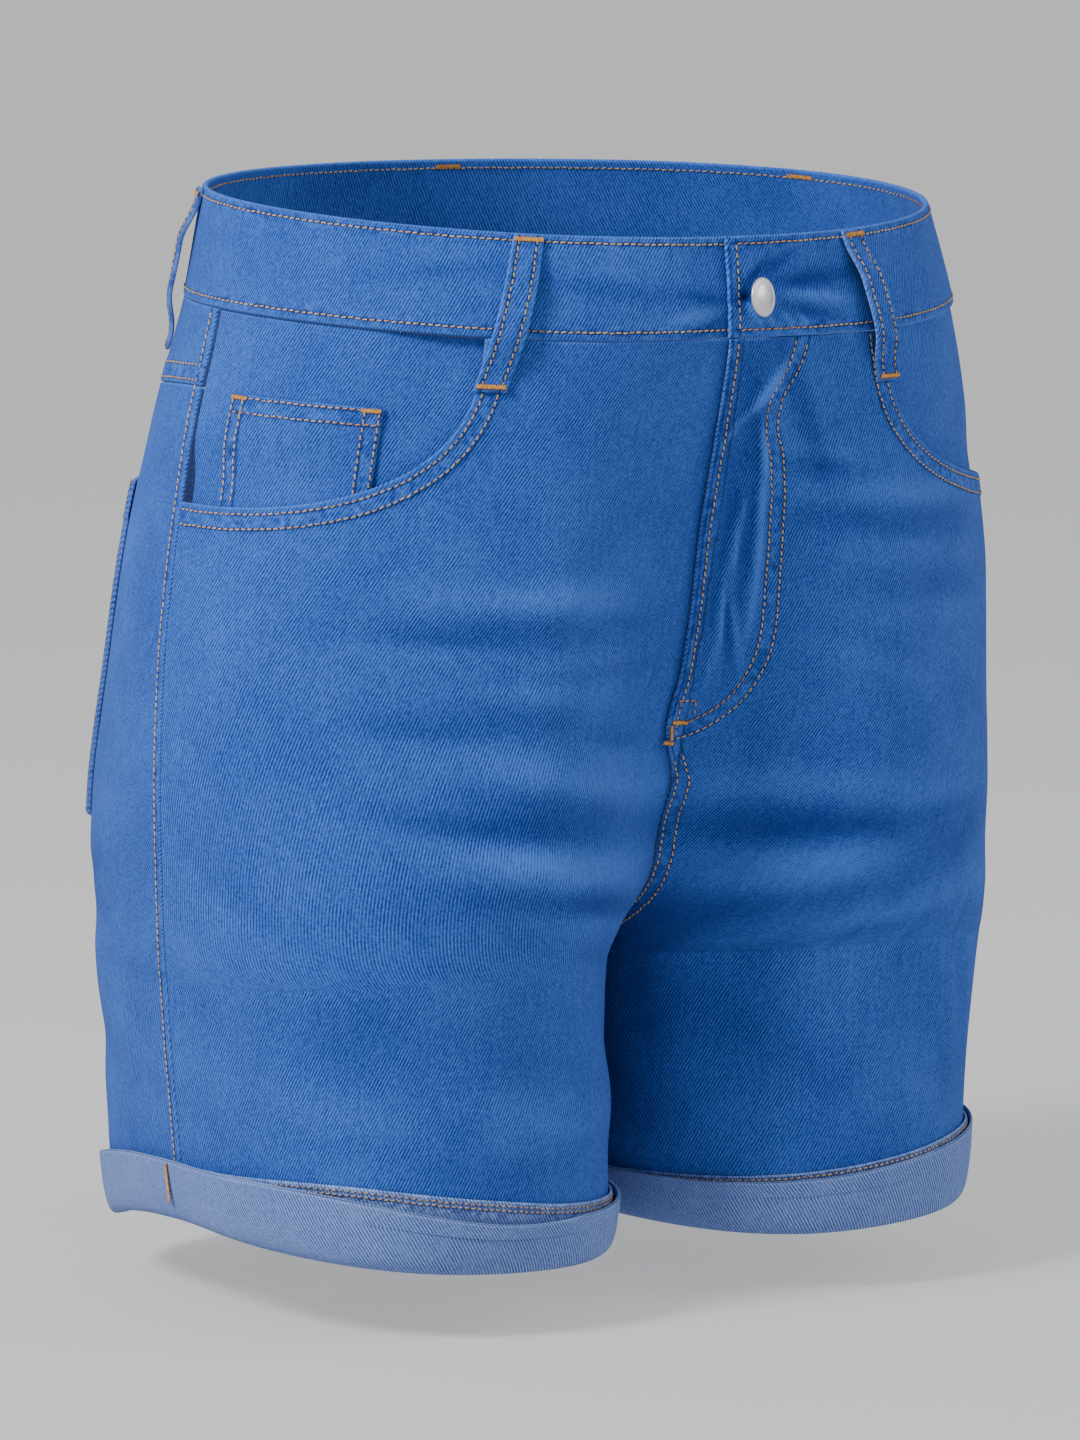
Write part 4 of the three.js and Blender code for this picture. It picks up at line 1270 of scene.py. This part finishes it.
ROW_LIFT = 0.05
THREAD_PITCH = 2.7
THREAD_LENGTH = 2.62
THREAD_RADIUS = 0.32
TACK_RADIUS = 0.24
THREAD_LEAN = 0.13
THREAD_SHIFTS = 0.07
THREAD_TURNS = 0.05
TACK_PITCH = 0.43
TACK_LEAN = 0.16
TACK_LIFT = 0.15
CUFF_TACK = 14.5
THREAD_SIDES = 5
# Along a stitch: place as a share of its length, radius as a share of the thread's, and height.
THREAD_FORM = np.array([(-0.5, 0.6, -0.16), (-0.3, 1.0, 0.1), (0.3, 1.0, 0.1), (0.5, 0.6, -0.16)])


def along_line(points, values, at):
    """Values on a line of points, at distances along it."""
    length = run(points)
    return np.stack([np.interp(at, length, values[:, k]) for k in range(3)], axis=-1), length[-1]


def stitch_row(across, drop, lift, inside=False, pitch=THREAD_PITCH, length=THREAD_LENGTH):
    """A row of stitches along a line of places: middles, directions, outward directions, lengths."""
    across, drop, lift = grids(across, drop, lift)
    points, out = on_cloth(across, drop, lift), outward(across, drop)
    total = along_line(points, points, [0.0])[1]
    count = max(int(total / pitch), 1)
    at = (np.arange(count) + 0.5) * total / count
    middle = along_line(points, points, at)[0]
    ahead = unit(along_line(points, points, at + 0.6)[0] - along_line(points, points, at - 0.6)[0])
    normal = unit(along_line(points, out, at)[0]) * (-1 if inside else 1)
    beside = np.cross(normal, ahead)
    middle = middle + beside * rng.normal(0, THREAD_SHIFTS, (count, 1))
    ahead = unit(ahead + beside * (THREAD_LEAN + rng.normal(0, THREAD_TURNS, (count, 1))))
    return middle, ahead, normal, length * rng.uniform(0.9, 1.06, count)


def bartack(across, drop, lift, turn, length, width=1.9, inside=False):
    """A dense bar of short threads laid side by side, turned from the across direction."""
    count = int(length / TACK_PITCH)
    c, s = math.cos(math.radians(turn)), math.sin(math.radians(turn))
    at = (np.arange(count) + 0.5) / count * length - length / 2
    places, drops = across + at * c / scale_across(across, drop), drop + at * s
    middle, normal = on_cloth(places, drops, np.full(count, lift)), outward(places, drops)
    ahead = unit(np.gradient(middle, axis=0))
    normal = normal * (-1 if inside else 1)
    lean = np.where(np.arange(count) % 2 == 0, TACK_LEAN, -TACK_LEAN)[:, None]
    over = unit(np.cross(normal, ahead) + lean * ahead)
    return middle, over, normal, width * rng.uniform(0.92, 1.08, count)


def thread_mesh(name, rows, material, radius=THREAD_RADIUS):
    """All the stitches of some rows, joined as one mesh."""
    middle, ahead, normal, length = (np.concatenate([row[k] for row in rows]) for k in range(4))
    count, rings = len(middle), len(THREAD_FORM)
    beside = np.cross(normal, ahead)
    turn = np.arange(THREAD_SIDES) / THREAD_SIDES * 2 * np.pi
    place, wide, high = (THREAD_FORM[:, k][:, None] for k in range(3))
    x, y, z = np.broadcast_arrays(
        place * length[:, None, None],
        radius * wide * np.cos(turn),
        high + 0.8 * radius * wide * np.sin(turn),
    )
    points = middle[:, None, None]
    for offset, direction in ((x, ahead), (y, beside), (z, normal)):
        points = points + offset[..., None] * direction[:, None, None]
    start = np.arange(count)[:, None] * rings * THREAD_SIDES
    sides = np.roll(grid_faces(rings, THREAD_SIDES, flip=True, ring=True), 1, axis=1)
    faces = (sides + start[:, None]).reshape(-1, 4).tolist()
    for cap in (np.arange(THREAD_SIDES)[::-1], np.arange(THREAD_SIDES) + (rings - 1) * THREAD_SIDES):
        faces += (cap + start).tolist()
    share = np.zeros((count, rings, THREAD_SIDES, 3))
    share[..., 0] = place
    made = to_object(name, points.reshape(-1, 3), faces, {"place": share.reshape(-1, 3)}, angle=70)
    fix_outward(made)
    return dress(made, material, None)


def thread(name, shade, bright):
    """Twisted thread, with painted shade where each stitch goes down into the cloth."""
    n = Nodes(name)
    ply = n.noise(n.object_place(), 900.0, 2)
    place = n.math("ABSOLUTE", n.parts(n.attribute("place"))[0])
    # Painted shade: each stitch fades to the dark colour at its ends, where it dips into the cloth.
    top = n.range(place, 0.26, 0.44, 1.0, 0.0)
    tone = n.math("MULTIPLY", top, n.range(ply, 0.3, 0.6, 0.45, 1.0))
    n.set(Base_Color=n.mix(tone, shade, bright), Roughness=0.7, Specular_IOR_Level=0.2)
    n.bump(ply, 0.0001)
    return n.material


# The first colour of each thread is its darker ply and the painted shade at the ends of its stitches.
TAN = thread("thread_tan", linear(48, 34, 28), linear(190, 162, 128))
ORANGE = thread("thread_orange", linear(104, 62, 24), linear(206, 148, 76))


def beside(across, drop, distance):
    """Places a distance in millimetres to the right of a line of places, as seen from outside."""
    wide = scale_across(across, drop)
    tall = np.linalg.norm(body_point(across, drop + 0.5) - body_point(across, drop - 0.5), axis=-1)
    x, y = np.gradient(across) * wide, np.gradient(drop) * tall
    size = np.maximum(np.hypot(x, y), 1e-9)
    return across - y / size * distance / wide, drop + x / size * distance / tall


def evenly(low, high, count=160):
    return np.linspace(low, high, count)


def band_stitches(along, drop, lift=ROW_LIFT, inside=False):
    along, drop = grids(along, drop)
    across, outer = band_surface(along, drop)
    return stitch_row(across, drop, outer + lift, inside=inside)


def band_rows():
    tan, orange = [], []
    for drop in (BAND_ROW, BAND_HEIGHT - BAND_ROW):
        orange.append(band_stitches(evenly(0.009, 0.07, 1200), drop))
        tan.append(band_stitches(evenly(0.07, BAND_LENGTH - 0.008, 1200), drop))
        within = evenly(0.075, BAND_LENGTH - 0.02, 1200)
        tan.append(band_stitches(within, drop, -BAND_CLOTH - ROW_LIFT, inside=True))
    tan.append(band_stitches(BAND_END_ROW / FRONT_SCALE, evenly(BAND_ROW, BAND_HEIGHT - BAND_ROW)))
    across, lift = band_surface(np.array(BAND_LENGTH - 0.066), BAND_HEIGHT - BAND_ROW)
    orange.append(bartack(float(across), BAND_HEIGHT - BAND_ROW, float(lift) + 0.1, 0, 6))
    return tan, orange


def mouth_rows(side):
    across, drop = mouth_line(side)
    tan = []
    for distance in (ROW_INSET, ROW_INSET + STITCH_PAIR):
        a, d = beside(across, drop, SIDES[side] * distance)
        kept = (d > BAND_HEIGHT + 1) & (np.abs(a) < 0.4985)
        tan.append(stitch_row(a[kept], d[kept], FOLDED_RIDGE + ROW_LIFT))
    return tan, []


# The little box and the bars of thread that hold the end of the fly.
FLY_BOX = [(-0.0105, 189.5), (0.0055, 190.0), (0.0060, 196.0)]
FLY_TACKS = [(-0.0060, 198.5, 4, 8), (-0.0150, 206.5, 8, 6), (-0.0130, 202.5, 78, 6)]


def fly_rows():
    tan, orange = [], []

    def row(a, d, kept):
        kept.append(stitch_row(a, d, fly_lift(a, d) + ROW_LIFT))

    turn = FLY_ROW_END - 18
    for distance, low_end in ((0.0, orange), (-STITCH_PAIR, tan)):
        for low, high, kept in ((41.5, turn, tan), (turn, FLY_ROW_END, low_end)):
            drop = evenly(low, high, 300)
            row(*beside(fly_row_across(drop), drop, distance), kept)
    drop = evenly(42, FLY_ROW_END + 4, 400)
    row(fly_lap(drop) + FLY_EDGE_ROW / FRONT_SCALE, drop, tan)
    for first, last in zip(FLY_BOX[:-1], FLY_BOX[1:]):
        row(evenly(first[0], last[0], 20), evenly(first[1], last[1], 20), orange)
    for a, d, turned, length in FLY_TACKS:
        lift = float(fly_lift(np.array(a), np.array(d))) + TACK_LIFT
        orange.append(bartack(a, d, lift, turned, length))
    for inset, below in ((RISE_ROW, 14), (RISE_ROW + STITCH_PAIR, 12)):
        drop = evenly(FLY_ROW_END + below, CROTCH_DROP - 1, 400)
        a = fly_lap(drop) + inset / FRONT_SCALE
        tan.append(stitch_row(a, drop, fly_rise(a, drop) + ROW_LIFT))
    return tan, orange


def back_rows(side):
    sign = SIDES[side]
    drop = evenly(BAND_HEIGHT + 2, 366, 600)
    behind = 0.5 + SIDE_ROW / scale_across(np.full_like(drop, 0.5), drop)
    tan = [stitch_row(sign * behind, drop, BACK_RIDGE + ROW_LIFT)]
    u = evenly(0.506, 0.996, 500)
    for above in (SEAM_ROW, SEAM_ROW + STITCH_PAIR):
        tan.append(stitch_row(sign * u, yoke_seam(u) - above, YOKE_RIDGE + ROW_LIFT))
    if side == "left":
        drop = evenly(BAND_HEIGHT + 2, CROTCH_DROP - 1, 600)
        for inset in (SEAM_ROW, SEAM_ROW + STITCH_PAIR):
            across = 1 - inset / scale_across(np.ones_like(drop), drop)
            tan.append(stitch_row(across, drop, ROW_LIFT))
    return tan, []


def back_pocket_rows(side):
    sign = SIDES[side]
    wide = (BACK_POCKET["far"] - BACK_POCKET["near"]) * HALF_GIRTH
    tall = BACK_POCKET["corner"] - BACK_POCKET["top"]
    tan, orange = [], []
    for inset in (PATCH_ROW, PATCH_ROW + STITCH_PAIR):
        a, b = inset / wide, inset / tall
        corners = [(a, 0.008), (a, 1 - b), (0.5, 1 - b), (1 - a, 1 - b), (1 - a, 0.008)]
        for (t0, s0), (t1, s1) in zip(corners[:-1], corners[1:]):
            u, drop = back_pocket_places(evenly(t0, t1, 120), evenly(s0, s1, 120))
            lift = PATCH_LIFT + ROW_LIFT + PATCH_HEM * (drop < BACK_POCKET["top"] + PATCH_HEM_DROP)
            tan.append(stitch_row(sign * u, drop, lift))
    for down in (PATCH_TOP_ROW, PATCH_TOP_ROW + STITCH_PAIR):
        u, drop = back_pocket_places(evenly(0.012, 0.988, 200), down / tall)
        tan.append(stitch_row(sign * u, drop, PATCH_LIFT + PATCH_HEM + ROW_LIFT))
    for t in (0.035, 0.965):
        u, drop = back_pocket_places(t, 0.03)
        lift = PATCH_LIFT + PATCH_HEM + TACK_LIFT
        orange.append(bartack(sign * float(u), float(drop), lift, 90, 9))
    return tan, orange


def coin_rows():
    tan, orange = [], []
    near, far, top = COIN["near"], COIN["far"], COIN["top"]
    deep = FACING_CLOTH + LAYER_GAP + ROW_LIFT
    edge, pair = COIN_ROW / COIN_SCALE, STITCH_PAIR / COIN_SCALE

    def row(u, drop, kept):
        u, drop = grids(u, drop)
        kept.append(stitch_row(-u, drop, facing_lift("right", u, drop) + deep))

    for down in (COIN_ROW, COIN_ROW + STITCH_PAIR):
        row(evenly(near + edge, near + 0.03), top + down, orange)
        row(evenly(near + 0.03, far - 0.03), top + down, tan)
        row(evenly(far - 0.03, far - edge), top + down, orange)
    for inset in (edge, edge + pair):
        for u in (near + inset, far - inset):
            row(u, evenly(top + COIN_ROW, top + 40), tan)
    for u in (near + 0.0105, far - 0.0105):
        lift = float(facing_lift("right", np.array(u), np.array(top + 1.3))) + deep + TACK_LIFT
        orange.append(bartack(-u, top + 1.3, lift, 0, 7.5))
    return tan, orange


def loop_rows(name):
    tan, orange = [], []
    if "back" in name:
        inner = BAND_FACE - BAND_CLOTH
        orange.append(bartack(LOOPS[name][0], 2.6, inner - TACK_LIFT, 0, 11, 2.2, inside=True))
    s = evenly(0.03, 0.97)
    for offset in (-LOOP_ROW, LOOP_ROW):
        across, drop, lift = loop_place(name, s, offset)
        tan.append(stitch_row(across, drop, lift + ROW_LIFT))
    for at in (0.035, 0.965):
        across, drop, lift = loop_place(name, at, 0.0)
        orange.append(bartack(across, drop, lift + TACK_LIFT, 0, 10.5, 2.2))
    return tan, orange


def cuff_rows(side):
    sign = SIDES[side]
    t = evenly(0.01, 0.99, 1200)
    tan = [
        stitch_row(sign * t, hem_top(side, t) + depth, HEM_LIFT, pitch=2.5, length=2.2)
        for depth in HEM_ROWS
    ]
    lift, rise = CUFF_OUTER[4::-1].T
    drop = float(leg_end(np.array(0.5))) + HEM_ROOM - CUFF_TACK
    stand = float(np.interp(CUFF_TACK, rise, lift)) + 0.1
    return tan, [bartack(sign * 0.503, drop, stand, 88, 15, 2.0)]


def sew():
    """Makes all the rows of stitches, in three groups."""
    groups = {
        "waistband": [band_rows(), *(loop_rows(name) for name in LOOPS)],
        "front": [fly_rows(), *(mouth_rows(side) for side in SIDES), coin_rows()],
        "back": [rows(side) for side in SIDES for rows in (back_rows, back_pocket_rows, cuff_rows)],
    }
    for name, made in groups.items():
        thread_mesh(f"stitches_{name}", sum((tan for tan, _ in made), []), TAN)
        thread_mesh(f"bartacks_{name}", sum((orange for _, orange in made), []), ORANGE, TACK_RADIUS)


sew()


# Button

BUTTON = {"across": 0.0155, "drop": 24.5, "lift": 2.3}
BUTTON_TURN = 20
BUTTON_FORM = [
    (0, 0), (2.6, 0), (2.6, 0.7), (6.6, 0.75), (7.1, 0.95), (7.35, 1.35), (7.35, 1.75), (7.1, 2.15),
    (6.6, 2.4), (5.9, 2.45), (5.4, 2.4), (4.4, 2.75), (3.0, 3.1), (1.5, 3.3), (0, 3.35),
]


def button():
    around = 72
    form = np.array(BUTTON_FORM)
    turn = np.arange(around) / around * 2 * np.pi
    a, d, lift = (np.array(BUTTON[k], float) for k in ("across", "drop", "lift"))
    out = outward(a, d)
    right = unit(np.cross([0, 0, 1.0], out))
    up = np.cross(out, right)
    c, s = math.cos(math.radians(BUTTON_TURN)), math.sin(math.radians(BUTTON_TURN))
    face, right = out * c + right * s, right * c - out * s
    base = body_point(a, d) + out * lift
    circle = right * np.cos(turn)[:, None] + up * np.sin(turn)[:, None]
    points = base + form[1:-1, 0, None, None] * circle + form[1:-1, 1, None, None] * face
    rows, ring = len(form) - 2, np.arange(around)
    faces = grid_faces(rows, around, ring=True).tolist()
    faces += [ring.tolist(), (ring + (rows - 1) * around).tolist()[::-1]]
    made = to_object("button_cap", points.reshape(-1, 3), faces, angle=40)
    fix_outward(made)
    return dress(made, SILVER, "metal", "button")


button()
for slot in frame["nodes"]["zip_slider"].material_slots:
    slot.material = ZIP_METAL


# Stage, camera and light

FLOOR_Z = -0.4
FLOOR_REACH = 60.0
FLOOR_GLOW = 0.43
CAMERA_TURN = math.radians(34)
CAMERA_DISTANCE = 2.62
CAMERA_HEIGHT = 0.118
AIM_RIGHT = -0.006
AIM_Z = -0.185
FOCAL_PIXELS = 6850
FRAME_HEIGHT = 1440
SENSOR = 36.0
LIGHTS = {
    "key": {"place": (-2.15, -0.25, 1.6), "aim": (0, 0, -0.22), "size": 0.8, "watts": 98},
    "fill": {"place": (1.6, -1.2, 0.7), "aim": (0, 0, -0.25), "size": 1.2, "watts": 16},
}
SKY = (0.93, 0.96, 1.0, 1)
SKY_STRENGTH = 0.6


def floor():
    corners = [(x * FLOOR_REACH, y * FLOOR_REACH, 0) for x, y in ((-1, -1), (1, -1), (1, 1), (-1, 1))]
    mesh = bpy.data.meshes.new("floor")
    mesh.from_pydata(corners, [], [(0, 1, 2, 3)])
    made = bpy.data.objects.new("floor", mesh)
    made.location.z = FLOOR_Z
    bpy.context.scene.collection.objects.link(made)
    n = Nodes("floor_paint")
    haze = n.noise(n.object_place(), 0.6, 2)
    n.set(
        Base_Color=n.mix(haze, linear(150, 149, 148), linear(153, 152, 151)),
        Roughness=0.9,
        Specular_IOR_Level=0.1,
        Emission_Color=(1, 1, 1, 1),
        Emission_Strength=FLOOR_GLOW,
    )
    made.data.materials.append(n.material)


def camera():
    data = bpy.data.cameras.new("camera")
    data.sensor_width = SENSOR
    data.lens = FOCAL_PIXELS * SENSOR / FRAME_HEIGHT
    data.clip_start, data.clip_end = 0.05, 200
    made = bpy.data.objects.new("camera", data)
    s, c = math.sin(CAMERA_TURN), math.cos(CAMERA_TURN)
    made.location = (-s * CAMERA_DISTANCE, -c * CAMERA_DISTANCE, CAMERA_HEIGHT)
    aim = Vector((c * AIM_RIGHT, -s * AIM_RIGHT, AIM_Z))
    made.rotation_euler = (aim - made.location).to_track_quat("-Z", "Y").to_euler()
    bpy.context.scene.collection.objects.link(made)
    bpy.context.scene.camera = made


def area_light(name, place, aim, size, watts):
    data = bpy.data.lights.new(name, "AREA")
    data.shape = "DISK"
    data.size = size
    data.energy = watts
    made = bpy.data.objects.new(name, data)
    made.location = place
    made.rotation_euler = (Vector(aim) - Vector(place)).to_track_quat("-Z", "Y").to_euler()
    bpy.context.scene.collection.objects.link(made)


def world():
    made = bpy.data.worlds.new("studio")
    bpy.context.scene.world = made
    made.use_nodes = True
    background = made.node_tree.nodes["Background"]
    background.inputs["Color"].default_value = SKY
    background.inputs["Strength"].default_value = SKY_STRENGTH


floor()
camera()
for name, light in LIGHTS.items():
    area_light(name, **light)
world()
